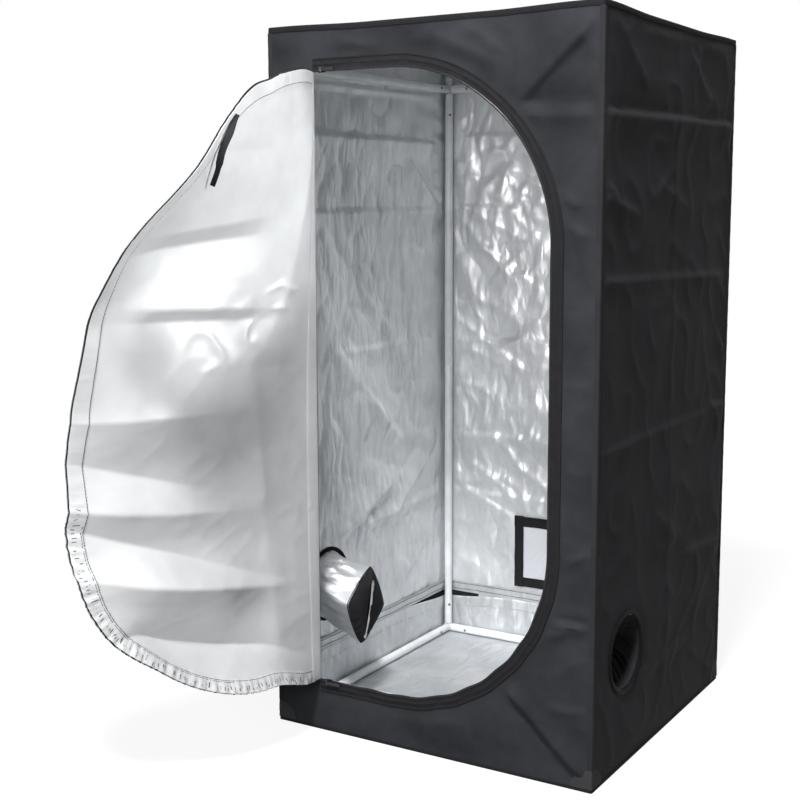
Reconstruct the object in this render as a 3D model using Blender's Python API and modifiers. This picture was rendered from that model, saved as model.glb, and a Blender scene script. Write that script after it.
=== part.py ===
"""Indoor grow tent: a black cloth cover with a silver lining over a frame of white tubes.

The origin is the centre of the floor's underside, +Z is up and the door faces -Y.
Every length is in metres. The door flap stands open, as the tent is shown in use.
"""
import math

import bmesh
import bpy
from mathutils import Matrix, Vector

# The cover, over its bindings
TENT_WIDTH = 0.610
TENT_DEPTH = 0.610
TENT_HEIGHT = 1.215

# Sheet goods: the lined cloth, the bindings and tapes sewn on it, and the waterproof tray
CLOTH = 0.0015
BINDING = 0.0010
TRAY_SHEET = 0.0012
FIT = 0.0003

# Bindings round the edges of the cover, and the rounded patches at its lower corners
EDGE_BINDING = 0.009
EDGE_ROUND = 0.0025
HEM_HEIGHT = 0.006
PATCH_RADIUS = 0.038

# The D-shaped door opening in the front wall: straight at the hinge, round at the far side
DOOR_LEFT_MARGIN = 0.092
DOOR_RIGHT_MARGIN = 0.083
DOOR_SILL = 0.094
DOOR_TOP_MARGIN = 0.078
DOOR_CORNER = 0.285
DOOR_PLAY = 0.0015
DOOR_HEM_START = 0.0020

# The zip: a tape along the opening and a hem along the door, each with a row of teeth
ZIP_TAPE = 0.022
ZIP_LAP = 0.010
TEETH_WIDTH = 0.003
TEETH_HEIGHT = 0.0022
TAPE_RIB = 0.0025
TAPE_RIB_HEIGHT = 0.0017
HEM_THICKNESS = 0.0024

# The frame of round tubes
POLE_DIAMETER = 0.016
POLE_WALL = 0.001
POLE_INSET = 0.016
CORNER_BODY = 0.0175
CORNER_ROUND = 0.004
CONNECTOR_ARM = 0.045
SWAGED_LENGTH = 0.050
RAIL_OVER_DOOR = 0.008

# Bars that hang the lamp from the top rails
BAR_PLACE = 0.130
BAR_OVERRUN = 0.009
CLIP_WALL = 0.002
CLIP_WIDTH = 0.014

# The waterproof tray inside the floor
TRAY_HEIGHT = 0.090
TRAY_HEM = 0.020

# The duct ports
PORT_BORE = 0.124
PORT_RING_WIDTH = 0.008
PORT_RING_DEPTH = 0.003
LEFT_PORT_FROM_FRONT = 0.155
LEFT_PORT_Z = 0.215
RIGHT_PORT_FROM_FRONT = 0.131
RIGHT_PORT_Z = 0.195
SLEEVE_CLOTH = 0.0012
LEFT_SLEEVE_LENGTH = 0.088
RIGHT_SLEEVE_LENGTH = 0.085
CUFF_LENGTH = 0.022
CUFF_CLOTH = 0.0014
LEFT_MOUTH_HEIGHT = 0.140
LEFT_MOUTH_WIDTH = 0.126
LEFT_MOUTH_DROP = 0.028
RIGHT_MOUTH_SIZE = 0.060
SLIT_WIDTH = 0.014

# The vent window low in the back wall
VENT_WIDTH = 0.270
VENT_HEIGHT = 0.150
VENT_BOTTOM = 0.124
VENT_TAPE = 0.021
VENT_TAPE_THICKNESS = 0.0015
NET_THICKNESS = 0.0008
NET_STRAND = 0.0016
NET_LAP = 0.008
NET_COLUMNS = 14
NET_ROWS = 7

# The tie strap on the door
STRAP_WIDTH = 0.010
STRAP_LENGTH = 0.105
STRAP_THICKNESS = 0.0016
STRAP_STAND_OFF = 0.0009
STRAP_REACH = 0.315
STRAP_END = 0.034
STRAP_END_WIDTH = 0.007

# The zip sliders and their pulls
SLIDER_LENGTH = 0.011
SLIDER_PLATE = 0.0013
SLIDER_DEPTH = 0.0085
SLIDER_POST = 0.0008
SLIDER_REST = 0.018
BAIL_EAR = 0.0014
BAIL_BAR = 0.0012
PULL_WIDTH = 0.0054
PULL_LENGTH = 0.026
PULL_THICKNESS = 0.0014
PULL_EYE = 0.0020

# How the cloth door stands: its swing from closed, and the lean and folds of the cloth
DOOR_OPEN_ANGLE = math.radians(100.0)
DOOR_LEAN_SHARES = (
    (0.00, -0.060), (0.10, 0.020), (0.22, 0.130), (0.33, 0.190), (0.48, 0.160),
    (0.62, 0.060), (0.72, -0.050), (0.80, -0.175), (0.86, -0.265), (0.92, -0.303), (1.00, -0.305),
)
# Each fold line: height at the hinge and at the free edge, and how far it stands out of the
# cloth, towards the lined side where that is less than zero
DOOR_FOLD_SHARES = (
    (0.000, 0.000, -0.10), (0.050, 0.130, 0.90), (0.180, 0.243, -0.45), (0.215, 0.318, 0.75),
    (0.312, 0.343, -0.35), (0.335, 0.415, 1.00), (0.475, 0.476, -0.90), (0.600, 0.560, 0.20),
    (0.623, 0.622, 0.60), (0.640, 0.645, -0.40), (0.735, 0.730, 0.50), (0.770, 0.745, -0.40),
    (0.860, 0.860, 0.10), (1.000, 1.000, 0.00),
)
DOOR_FOLD_DEPTH = 0.015
DOOR_FOLD_START = 0.160

# Facets
TUBE_SIDES = 16
ARC_STEPS = 10
DOOR_RISE_STEPS = 13
DOOR_COLUMNS = 12
RING_SIDES = 32
SLEEVE_SIDES = 32
SLEEVE_STEPS = 7
CUFF_STEPS = 3
ARM_SIDES = 12

# Places worked out from the sizes above
SKIN_X = TENT_WIDTH / 2 - BINDING - FIT
SKIN_Y = TENT_DEPTH / 2 - BINDING - FIT
ROOF_TOP = TENT_HEIGHT - BINDING - FIT
ROOF_UNDER = ROOF_TOP - CLOTH
WALL_FOOT = CLOTH + FIT
WALL_HEAD = ROOF_UNDER - FIT
SIDE_WALL_END = SKIN_Y - CLOTH - FIT

HINGE_X = -TENT_WIDTH / 2 + DOOR_LEFT_MARGIN
HINGE_Y = -SKIN_Y - CLOTH / 2 - FIT
DOOR_FAR_X = TENT_WIDTH / 2 - DOOR_RIGHT_MARGIN
DOOR_HEAD = TENT_HEIGHT - DOOR_TOP_MARGIN
DOOR_HEIGHT = DOOR_HEAD - DOOR_SILL

TRAY_BOTTOM = CLOTH + FIT
TRAY_TOP = TRAY_BOTTOM + TRAY_HEIGHT
FLOOR_RAIL_Z = TRAY_BOTTOM + TRAY_SHEET + FIT + CORNER_BODY / 2
TOP_RAIL_Z = DOOR_HEAD + RAIL_OVER_DOOR + POLE_DIAMETER / 2
POLE_X = TENT_WIDTH / 2 - POLE_INSET
POLE_Y = TENT_DEPTH / 2 - POLE_INSET
POLE_RADIUS = POLE_DIAMETER / 2
BORE_RADIUS = POLE_RADIUS - POLE_WALL
ARM_RADIUS = BORE_RADIUS - FIT
POLE_JOINT_Z = (FLOOR_RAIL_Z + TOP_RAIL_Z) / 2
PORT_RADIUS = PORT_BORE / 2
LEFT_PORT_Y = -TENT_DEPTH / 2 + LEFT_PORT_FROM_FRONT
RIGHT_PORT_Y = -TENT_DEPTH / 2 + RIGHT_PORT_FROM_FRONT

# Cloth stands upright on its edge: across becomes X or Y, up becomes Z
FACING_FRONT = Matrix.Rotation(math.pi / 2, 4, "X")
FACING_SIDE = Matrix.Rotation(math.pi / 2, 4, "Z") @ FACING_FRONT


def start_scene():
    """Empty the scene and make the two collections."""
    for old in list(bpy.data.objects):
        bpy.data.objects.remove(old, do_unlink=True)
    collections = []
    for name in ("grow_tent", "cutters"):
        collection = bpy.data.collections.new(name)
        bpy.context.scene.collection.children.link(collection)
        collections.append(collection)
    return collections


PARTS, CUTTERS = start_scene()


def finish(name, colour, roughness, metallic=0.0):
    """A Principled material."""
    material = bpy.data.materials.new(name)
    material.use_nodes = True
    shader = material.node_tree.nodes["Principled BSDF"]
    shader.inputs["Base Color"].default_value = (*colour, 1.0)
    shader.inputs["Roughness"].default_value = roughness
    shader.inputs["Metallic"].default_value = metallic
    return material


def black_cloth(name):
    return finish(name + "_black_cloth", (0.045, 0.045, 0.050), 0.6)


def silver_cloth(name):
    return finish(name + "_silver_cloth", (0.78, 0.79, 0.82), 0.3, 0.6)


def black_tape(name):
    return finish(name + "_black_tape", (0.012, 0.012, 0.014), 0.8)


def white_tube(name):
    return finish(name + "_white_tube", (0.82, 0.84, 0.86), 0.35)


def black_metal(name):
    return finish(name + "_black_metal", (0.02, 0.02, 0.022), 0.4, 0.5)


def white_net(name):
    return finish(name + "_white_net", (0.6, 0.62, 0.68), 0.7)


def add_part(name, data, material, matrix=None):
    """Put mesh or curve data in the tent as one named part."""
    part = bpy.data.objects.new(name, data)
    PARTS.objects.link(part)
    if matrix is not None:
        part.matrix_world = matrix
    data.materials.clear()
    data.materials.append(material)
    return part


def put_origin(part, place):
    """Move a part's origin to a place in the tent and leave its shape where it is."""
    move = Matrix.Translation(part.matrix_world.inverted() @ Vector(place))
    part.data.transform(move.inverted())
    part.matrix_world = part.matrix_world @ move


def sheet_curve(name, loops, thickness):
    """Flat outlines, cut from sheet; a loop inside another is a hole."""
    curve = bpy.data.curves.new(name, "CURVE")
    curve.dimensions = "2D"
    curve.fill_mode = "BOTH"
    curve.extrude = thickness / 2
    for loop in loops:
        spline = curve.splines.new("POLY")
        spline.points.add(len(loop) - 1)
        for point, (across, up) in zip(spline.points, loop):
            point.co = (across, up, 0.0, 1.0)
        spline.use_cyclic_u = True
    return curve


def sheet(name, loops, thickness, turn, place, material):
    """A flat part cut from sheet, turned and then moved to its place."""
    matrix = Matrix.Translation(place) @ turn
    return add_part(name, sheet_curve(name, loops, thickness), material, matrix)


def rectangle(low_across, low_up, high_across, high_up):
    return [
        (low_across, low_up), (high_across, low_up),
        (high_across, high_up), (low_across, high_up),
    ]


def circle(across, up, radius, sides):
    step = 2 * math.pi / sides
    return [
        (across + radius * math.cos(step * i), up + radius * math.sin(step * i))
        for i in range(sides)
    ]


def evaluated_mesh(part):
    """The part's mesh as its modifiers make it, with loose caps welded."""
    depsgraph = bpy.context.evaluated_depsgraph_get()
    depsgraph.update()
    mesh = bpy.data.meshes.new_from_object(part.evaluated_get(depsgraph))
    work = bmesh.new()
    work.from_mesh(mesh)
    bmesh.ops.remove_doubles(work, verts=work.verts, dist=FIT / 10)
    work.to_mesh(mesh)
    work.free()
    return mesh


def turned(name, profile, material, matrix, sides=TUBE_SIDES):
    """A closed profile of (radius, height), down its outer side, turned about its axis."""
    mesh = bpy.data.meshes.new(name)
    corners = [(radius, 0.0, height) for radius, height in profile]
    edges = [(i, (i + 1) % len(corners)) for i in range(len(corners))]
    mesh.from_pydata(corners, edges, [])
    part = add_part(name, mesh, material, matrix)
    screw = part.modifiers.new("turn", "SCREW")
    screw.steps = sides
    screw.render_steps = sides
    screw.use_merge_vertices = True
    screw.merge_threshold = FIT / 10
    screw.use_smooth_shade = False
    return part


def smooth_round(mesh):
    """Shade the round sides smooth and leave the ends sharp."""
    mesh.shade_smooth()
    mesh.set_sharp_from_angle(angle=math.radians(35.0))


def band(name, section, path_at, closed, material):
    """Sweep a section of (across, lift) points along a path that is known at each of them."""
    work = bmesh.new()
    rings = [[work.verts.new(place) for place in path_at(*point)] for point in section]
    stations = len(rings[0])
    for ring, following in zip(rings, rings[1:] + rings[:1]):
        for i in range(stations if closed else stations - 1):
            j = (i + 1) % stations
            work.faces.new((ring[i], ring[j], following[j], following[i]))
    if not closed:
        work.faces.new([ring[0] for ring in rings])
        work.faces.new([ring[-1] for ring in reversed(rings)])
    bmesh.ops.recalc_face_normals(work, faces=work.faces)
    mesh = bpy.data.meshes.new(name)
    work.to_mesh(mesh)
    work.free()
    return add_part(name, mesh, material)


def union_with(part, others):
    """Join other solids to a part; they stay behind as guides."""
    for other in others:
        joining = part.modifiers.new("join_" + other.name, "BOOLEAN")
        joining.operation = "UNION"
        joining.solver = "EXACT"
        joining.object = other
        other.hide_render = True
        other.display_type = "WIRE"
        PARTS.objects.unlink(other)
        CUTTERS.objects.link(other)


def ease(share):
    return share * share * (3 - 2 * share)


def mix(first, last, share):
    return first + (last - first) * share


# The D-shaped opening

def door_edge(grow, run_steps=1, rise_steps=1):
    """Points (x, z) along the zipped edge, from the lower to the upper hinge corner.

    The edge lies outside the opening by grow, or inside it where grow is less than zero.
    """
    arc_x = DOOR_FAR_X - DOOR_CORNER
    radius = DOOR_CORNER + grow
    low_z = DOOR_SILL + DOOR_CORNER
    high_z = DOOR_HEAD - DOOR_CORNER
    run = [mix(HINGE_X, arc_x, i / run_steps) for i in range(run_steps)]
    turn = [math.pi / 2 * i / ARC_STEPS for i in range(ARC_STEPS + 1)]
    rise = [i / rise_steps for i in range(1, rise_steps)]
    points = [(x, low_z - radius) for x in run]
    points += [(arc_x + radius * math.sin(a), low_z - radius * math.cos(a)) for a in turn]
    points += [(arc_x + radius, low_z + (high_z - low_z) * share) for share in rise]
    points += [(arc_x + radius * math.cos(a), high_z + radius * math.sin(a)) for a in turn]
    points += [(x, high_z + radius) for x in reversed(run)]
    return points


# The cover

def make_walls():
    """Front, back and side walls, standing between the floor and the roof."""
    front = rectangle(-SKIN_X, WALL_FOOT, SKIN_X, WALL_HEAD)
    opening = door_edge(ZIP_LAP)
    middle_y = SKIN_Y - CLOTH / 2
    sheet("front_wall", [front, opening], CLOTH, FACING_FRONT, (0.0, -middle_y, 0.0),
          black_cloth("front_wall"))
    lap = VENT_TAPE - NET_LAP
    window = rectangle(-VENT_WIDTH / 2 + lap, VENT_BOTTOM + lap,
                       VENT_WIDTH / 2 - lap, VENT_BOTTOM + VENT_HEIGHT - lap)
    sheet("back_wall", [front, window], CLOTH, FACING_FRONT, (0.0, middle_y, 0.0),
          black_cloth("back_wall"))
    side = rectangle(-SIDE_WALL_END, WALL_FOOT, SIDE_WALL_END, WALL_HEAD)
    middle_x = SKIN_X - CLOTH / 2
    for name, x, port_y, port_z in (
        ("left_wall", -middle_x, LEFT_PORT_Y, LEFT_PORT_Z),
        ("right_wall", middle_x, RIGHT_PORT_Y, RIGHT_PORT_Z),
    ):
        port = circle(port_y, port_z, PORT_RADIUS, RING_SIDES)
        sheet(name, [side, port], CLOTH, FACING_SIDE, (x, 0.0, 0.0), black_cloth(name))


def make_floor_and_roof():
    """The panels that close the cover below and above."""
    panel = rectangle(-SKIN_X, -SKIN_Y, SKIN_X, SKIN_Y)
    flat = Matrix.Identity(4)
    sheet("floor_panel", [panel], CLOTH, flat, (0.0, 0.0, CLOTH / 2), black_cloth("floor_panel"))
    sheet("roof_panel", [panel], CLOTH, flat, (0.0, 0.0, ROOF_TOP - CLOTH / 2),
          black_cloth("roof_panel"))


def make_corner_bindings():
    """A folded tape over each upright edge of the cover."""
    low = PATCH_RADIUS + FIT
    high = TENT_HEIGHT - EDGE_BINDING - FIT
    half_x = TENT_WIDTH / 2
    half_y = TENT_DEPTH / 2
    outer = [(half_x - EDGE_ROUND + EDGE_ROUND * math.cos(a),
              half_y - EDGE_ROUND + EDGE_ROUND * math.sin(a))
             for a in (0.0, math.pi / 8, math.pi / 4, 3 * math.pi / 8, math.pi / 2)]
    corner = [(half_x, half_y - EDGE_BINDING)] + outer + [
        (half_x - EDGE_BINDING, half_y), (half_x - EDGE_BINDING, half_y - BINDING),
        (half_x - BINDING, half_y - BINDING), (half_x - BINDING, half_y - EDGE_BINDING),
    ]
    for name, side_x, side_y in (
        ("binding_front_left", -1, -1), ("binding_front_right", 1, -1),
        ("binding_back_left", -1, 1), ("binding_back_right", 1, 1),
    ):
        loop = [(side_x * x, side_y * y) for x, y in corner]
        sheet(name, [loop], high - low, Matrix.Identity(4), (0.0, 0.0, (low + high) / 2),
              black_tape(name))


def make_edge_bands():
    """The binding round the roof and the hem round the foot of the walls."""

    def loop_at(inset, height):
        return [Vector((x, y, height)) for x, y in rectangle(
            -TENT_WIDTH / 2 + inset, -TENT_DEPTH / 2 + inset,
            TENT_WIDTH / 2 - inset, TENT_DEPTH / 2 - inset)]

    under = TENT_HEIGHT - BINDING
    roof_section = [
        (0.0, TENT_HEIGHT - EDGE_BINDING), (0.0, TENT_HEIGHT - EDGE_ROUND),
        (EDGE_ROUND, TENT_HEIGHT), (EDGE_BINDING, TENT_HEIGHT), (EDGE_BINDING, under),
        (BINDING, under), (BINDING, TENT_HEIGHT - EDGE_BINDING),
    ]
    band("roof_binding", roof_section, loop_at, True, black_tape("roof_binding"))
    hem_section = [(0.0, FIT), (0.0, HEM_HEIGHT), (BINDING, HEM_HEIGHT), (BINDING, FIT)]
    band("floor_hem", hem_section, loop_at, True, black_tape("floor_hem"))


def make_corner_patches():
    """A rounded patch folded round each lower corner of the cover, below its binding."""
    low = HEM_HEIGHT + FIT
    foot = math.sqrt(PATCH_RADIUS ** 2 - low ** 2)
    first = math.atan2(low, foot)
    arc = [mix(first, math.pi / 2, i / 6) for i in range(7)]
    quarter = [(PATCH_RADIUS * math.cos(a), PATCH_RADIUS * math.sin(a)) for a in arc]
    for name, side_x, side_y in (
        ("corner_patch_front_left", -1, -1), ("corner_patch_front_right", 1, -1),
        ("corner_patch_back_left", -1, 1), ("corner_patch_back_right", 1, 1),
    ):
        corner_x = side_x * TENT_WIDTH / 2
        corner_y = side_y * TENT_DEPTH / 2
        work = bmesh.new()
        fold = [work.verts.new((corner_x, corner_y, z)) for z in (PATCH_RADIUS, low)]
        for across_x, across_y in ((side_x, 0), (0, side_y)):
            rim = [work.verts.new((corner_x - across_x * u, corner_y - across_y * u, v))
                   for u, v in quarter[:-1]]
            work.faces.new([fold[1]] + rim + [fold[0]])
        bmesh.ops.recalc_face_normals(work, faces=work.faces)
        centre = Vector((0.0, 0.0, low))
        for face in work.faces:
            if face.normal.dot(face.calc_center_median() - centre) < 0.0:
                face.normal_flip()
        mesh = bpy.data.meshes.new(name)
        work.to_mesh(mesh)
        work.free()
        patch = add_part(name, mesh, black_cloth(name))
        cloth = patch.modifiers.new("cloth", "SOLIDIFY")
        cloth.thickness = BINDING
        cloth.offset = -1.0
        cloth.use_even_offset = True


def make_opening_tape():
    """The tent's half of the zip, round the top, far side and foot of the opening."""
    back = -SKIN_Y - FIT

    def path_at(across, lift):
        return [Vector((x, back - lift, z)) for x, z in door_edge(across)]

    section = [
        (0.0, 0.0), (0.0, TEETH_HEIGHT), (TEETH_WIDTH, TEETH_HEIGHT),
        (TEETH_WIDTH + FIT, BINDING), (ZIP_TAPE - TAPE_RIB - FIT, BINDING),
        (ZIP_TAPE - TAPE_RIB, TAPE_RIB_HEIGHT), (ZIP_TAPE - FIT, TAPE_RIB_HEIGHT),
        (ZIP_TAPE, BINDING), (ZIP_TAPE, 0.0),
    ]
    band("opening_zip_tape", section, path_at, False, black_tape("opening_zip_tape"))


def make_tray():
    """The waterproof tray: an open box with a folded hem round its top edge."""
    low = TRAY_BOTTOM
    outer_x = SKIN_X - CLOTH - FIT
    outer_y = SKIN_Y - CLOTH - FIT
    hem = 2 * TRAY_SHEET

    def loop_at(inset, height):
        return [Vector((x, y, height)) for x, y in rectangle(
            -outer_x + inset, -outer_y + inset, outer_x - inset, outer_y - inset)]

    profile = [
        (0.0, low), (0.0, TRAY_TOP), (hem, TRAY_TOP), (hem, TRAY_TOP - TRAY_HEM),
        (TRAY_SHEET, TRAY_TOP - TRAY_HEM), (TRAY_SHEET, low + TRAY_SHEET),
    ]
    work = bmesh.new()
    loops = [[work.verts.new(place) for place in loop_at(*point)] for point in profile]
    for loop, following in zip(loops, loops[1:]):
        for i in range(4):
            j = (i + 1) % 4
            work.faces.new((loop[i], loop[j], following[j], following[i]))
    work.faces.new(loops[0])
    work.faces.new(loops[-1])
    bmesh.ops.recalc_face_normals(work, faces=work.faces)
    mesh = bpy.data.meshes.new("floor_tray")
    work.to_mesh(mesh)
    work.free()
    add_part("floor_tray", mesh, silver_cloth("floor_tray"))


# The frame

def tube_profile(length):
    return [(POLE_RADIUS, length), (POLE_RADIUS, 0.0), (BORE_RADIUS, 0.0), (BORE_RADIUS, length)]


def make_uprights():
    """A lower and an upper pole in each corner; the upper one is swaged to fit the lower."""
    foot = FLOOR_RAIL_Z + CORNER_BODY / 2 + FIT
    head = TOP_RAIL_Z - CORNER_BODY / 2 - FIT
    shoulder = POLE_JOINT_Z + FIT
    swaged = BORE_RADIUS - FIT
    swaged_bore = swaged - POLE_WALL
    upper_profile = [
        (POLE_RADIUS, head), (POLE_RADIUS, shoulder), (swaged, shoulder),
        (swaged, shoulder - SWAGED_LENGTH), (swaged_bore, shoulder - SWAGED_LENGTH),
        (swaged_bore, shoulder + POLE_WALL), (BORE_RADIUS, shoulder + 2 * POLE_WALL),
        (BORE_RADIUS, head),
    ]
    for corner, x, y in (
        ("front_left", -POLE_X, -POLE_Y), ("front_right", POLE_X, -POLE_Y),
        ("back_left", -POLE_X, POLE_Y), ("back_right", POLE_X, POLE_Y),
    ):
        name = "lower_pole_" + corner
        lower = turned(name, tube_profile(POLE_JOINT_Z - foot), white_tube(name),
                       Matrix.Translation((x, y, foot)))
        smooth_round(lower.data)
        name = "upper_pole_" + corner
        upper = turned(name, upper_profile, white_tube(name), Matrix.Translation((x, y, 0.0)))
        smooth_round(upper.data)


def make_rails():
    """Four rails round the floor and four below the roof."""
    end = CORNER_BODY / 2 + FIT
    along_x = Matrix.Rotation(math.pi / 2, 4, "Y")
    along_y = Matrix.Rotation(-math.pi / 2, 4, "X")
    for level, z in (("floor_rail_", FLOOR_RAIL_Z), ("top_rail_", TOP_RAIL_Z)):
        for side, x, y, length, turn in (
            ("front", -POLE_X + end, -POLE_Y, 2 * (POLE_X - end), along_x),
            ("back", -POLE_X + end, POLE_Y, 2 * (POLE_X - end), along_x),
            ("left", -POLE_X, -POLE_Y + end, 2 * (POLE_Y - end), along_y),
            ("right", POLE_X, -POLE_Y + end, 2 * (POLE_Y - end), along_y),
        ):
            name = level + side
            rail = turned(name, tube_profile(length), white_tube(name),
                          Matrix.Translation((x, y, z)) @ turn)
            smooth_round(rail.data)


def arm_mesh(radius, length, rounding):
    """A round arm that starts at the corner's centre and ends in a rounded tip."""
    work = bmesh.new()
    bmesh.ops.create_cone(work, cap_ends=True, segments=ARM_SIDES, radius1=radius,
                          radius2=radius, depth=length)
    bmesh.ops.translate(work, verts=work.verts, vec=(0.0, 0.0, length / 2))
    tip = [edge for edge in work.edges
           if all(vert.co.z > length - FIT for vert in edge.verts)]
    bmesh.ops.bevel(work, geom=tip, offset=rounding, segments=1, affect="EDGES")
    mesh = bpy.data.meshes.new("arm")
    work.to_mesh(mesh)
    work.free()
    return mesh


def corner_mesh(name, arms):
    """A rounded block with an arm for each tube that pushes on to it."""
    work = bmesh.new()
    bmesh.ops.create_cube(work, size=CORNER_BODY)
    bmesh.ops.bevel(work, geom=work.edges[:], offset=CORNER_ROUND, segments=1, affect="EDGES")
    mesh = bpy.data.meshes.new(name)
    work.to_mesh(mesh)
    work.free()
    body = add_part(name, mesh, white_tube(name))
    guides = []
    for i, (turn, radius, length, rounding) in enumerate(arms):
        guides.append(add_part(f"{name}_arm_{i}", arm_mesh(radius, length, rounding),
                               white_tube(name), turn))
    union_with(body, guides)
    mesh = evaluated_mesh(body)
    bpy.data.objects.remove(body, do_unlink=True)
    for guide in guides:
        bpy.data.objects.remove(guide, do_unlink=True)
    return mesh


def make_connectors():
    """Corner pieces: three arms at the floor, and a fourth that carries the roof above."""
    to_x = Matrix.Rotation(math.pi / 2, 4, "Y")
    to_y = Matrix.Rotation(-math.pi / 2, 4, "X")
    to_top = Matrix.Identity(4)
    to_foot = Matrix.Rotation(math.pi, 4, "X")
    reach = CORNER_BODY / 2 + CONNECTOR_ARM
    tip = POLE_WALL
    floor_arms = [(turn, ARM_RADIUS, reach, tip) for turn in (to_x, to_y, to_top)]
    top_arms = [(turn, ARM_RADIUS, reach, tip) for turn in (to_x, to_y, to_foot)]
    top_arms.append((to_top, POLE_RADIUS, ROOF_UNDER - FIT - TOP_RAIL_Z, POLE_RADIUS / 2))
    for level, z, arms in (
        ("floor_corner_", FLOOR_RAIL_Z, floor_arms), ("top_corner_", TOP_RAIL_Z, top_arms),
    ):
        mesh = corner_mesh(level + "shape", arms)
        for corner, x, y, quarter_turns in (
            ("front_left", -POLE_X, -POLE_Y, 0), ("front_right", POLE_X, -POLE_Y, 1),
            ("back_right", POLE_X, POLE_Y, 2), ("back_left", -POLE_X, POLE_Y, 3),
        ):
            turn = Matrix.Rotation(quarter_turns * math.pi / 2, 4, "Z")
            name = level + corner
            add_part(name, mesh.copy(), white_tube(name), Matrix.Translation((x, y, z)) @ turn)


def make_hanging_bars():
    """Two bars over the top rails, with a clip under each end that slides along the rail."""
    height = TOP_RAIL_Z + POLE_DIAMETER + FIT
    reach = POLE_Y + BAR_OVERRUN
    inner = POLE_RADIUS + FIT
    outer = inner + CLIP_WALL
    spread = [math.radians(-20.0 + 220.0 * i / 10) for i in range(11)]
    for name, x in (("hanging_bar_left", -BAR_PLACE), ("hanging_bar_right", BAR_PLACE)):
        bar = turned(name, tube_profile(2 * reach), white_tube(name),
                     Matrix.Translation((x, -reach, height))
                     @ Matrix.Rotation(-math.pi / 2, 4, "X"))
        smooth_round(bar.data)
        clips = []
        for end, y in (("front", -POLE_Y), ("back", POLE_Y)):
            loop = [(y + outer * math.cos(a), TOP_RAIL_Z + outer * math.sin(a)) for a in spread]
            loop += [(y + inner * math.cos(a), TOP_RAIL_Z + inner * math.sin(a))
                     for a in reversed(spread)]
            flat = sheet(name + "_clip", [loop], CLIP_WIDTH, FACING_SIDE, (x, 0.0, 0.0),
                         white_tube(name))
            mesh = evaluated_mesh(flat)
            clip = add_part(name + "_clip_" + end, mesh, white_tube(name), flat.matrix_world.copy())
            bpy.data.objects.remove(flat, do_unlink=True)
            clips.append(clip)
        union_with(bar, clips)


# The duct ports

def make_port_rings():
    """The stiff black rim of each port: inside on the left wall, outside on the right."""
    mid = PORT_RADIUS + PORT_RING_WIDTH / 2
    outer = PORT_RADIUS + PORT_RING_WIDTH
    profile = [
        (mid, PORT_RING_DEPTH), (outer, PORT_RING_DEPTH / 2), (outer, 0.0),
        (PORT_RADIUS, 0.0), (PORT_RADIUS, PORT_RING_DEPTH / 2),
    ]
    to_right = Matrix.Rotation(math.pi / 2, 4, "Y")
    inside_left = -SKIN_X + CLOTH + FIT
    outside_right = SKIN_X + FIT
    for name, x, y, z in (
        ("left_port_ring", inside_left, LEFT_PORT_Y, LEFT_PORT_Z),
        ("right_port_ring", outside_right, RIGHT_PORT_Y, RIGHT_PORT_Z),
    ):
        turned(name, profile, black_tape(name), Matrix.Translation((x, y, z)) @ to_right,
               RING_SIDES)


def cloth_tube(name, rings, cloth, material):
    """A tube of cloth through rings of points, with the cloth's thickness."""
    work = bmesh.new()
    verts = [[work.verts.new(place) for place in ring] for ring in rings]
    sides = len(verts[0])
    for ring, following in zip(verts, verts[1:]):
        for i in range(sides):
            j = (i + 1) % sides
            work.faces.new((ring[i], ring[j], following[j], following[i]))
    bmesh.ops.recalc_face_normals(work, faces=work.faces)
    mesh = bpy.data.meshes.new(name)
    work.to_mesh(mesh)
    work.free()
    part = add_part(name, mesh, material)
    wall = part.modifiers.new("cloth", "SOLIDIFY")
    wall.thickness = cloth
    wall.offset = 0.0
    return part


def pinched_ring(x, y, z, half_height, half_width, power, tilt, pleats, pleat_share):
    """A ring between a circle and a pinched lozenge, leaning by tilt, with pleats round it."""
    ring = []
    for i in range(SLEEVE_SIDES):
        angle = 2 * math.pi * i / SLEEVE_SIDES
        reach = ((abs(math.cos(angle)) / half_width) ** power
                 + (abs(math.sin(angle)) / half_height) ** power) ** (-1 / power)
        reach *= 1 + pleat_share * math.cos(pleats * angle)
        turn = angle + tilt
        ring.append(Vector((x, y + reach * math.cos(turn), z + reach * math.sin(turn))))
    return ring


def make_left_sleeve():
    """The left duct sleeve hangs into the tent and is pinched to an upright slit by its cuff."""
    root = PORT_RADIUS - FIT - SLEEVE_CLOTH / 2
    start = -SKIN_X
    tilt = math.radians(-14.0)
    rings = []
    for i in range(SLEEVE_STEPS + 1):
        share = i / SLEEVE_STEPS
        grip = ease(max(0.0, (share - 0.12) / 0.88))
        rings.append(pinched_ring(
            start + LEFT_SLEEVE_LENGTH * share,
            LEFT_PORT_Y, LEFT_PORT_Z - LEFT_MOUTH_DROP * grip,
            mix(root, LEFT_MOUTH_HEIGHT / 2, grip), mix(root, LEFT_MOUTH_WIDTH / 2, grip),
            mix(2.0, 1.20, grip), tilt * grip, 4, 0.0))
    cloth_tube("left_port_sleeve", rings, SLEEVE_CLOTH, silver_cloth("left_port_sleeve"))
    rings = []
    for i in range(CUFF_STEPS + 1):
        share = i / CUFF_STEPS
        rings.append(pinched_ring(
            start + LEFT_SLEEVE_LENGTH + 2 * FIT + CUFF_LENGTH * math.sin(share * math.pi / 2),
            LEFT_PORT_Y, LEFT_PORT_Z - LEFT_MOUTH_DROP,
            LEFT_MOUTH_HEIGHT / 2 * (1 - 0.3 * share * share),
            mix(LEFT_MOUTH_WIDTH, SLIT_WIDTH, share * share) / 2,
            mix(1.20, 1.30, share), tilt, 4, 0.0))
    cloth_tube("left_port_cuff", rings, CUFF_CLOTH, black_tape("left_port_cuff"))


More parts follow.
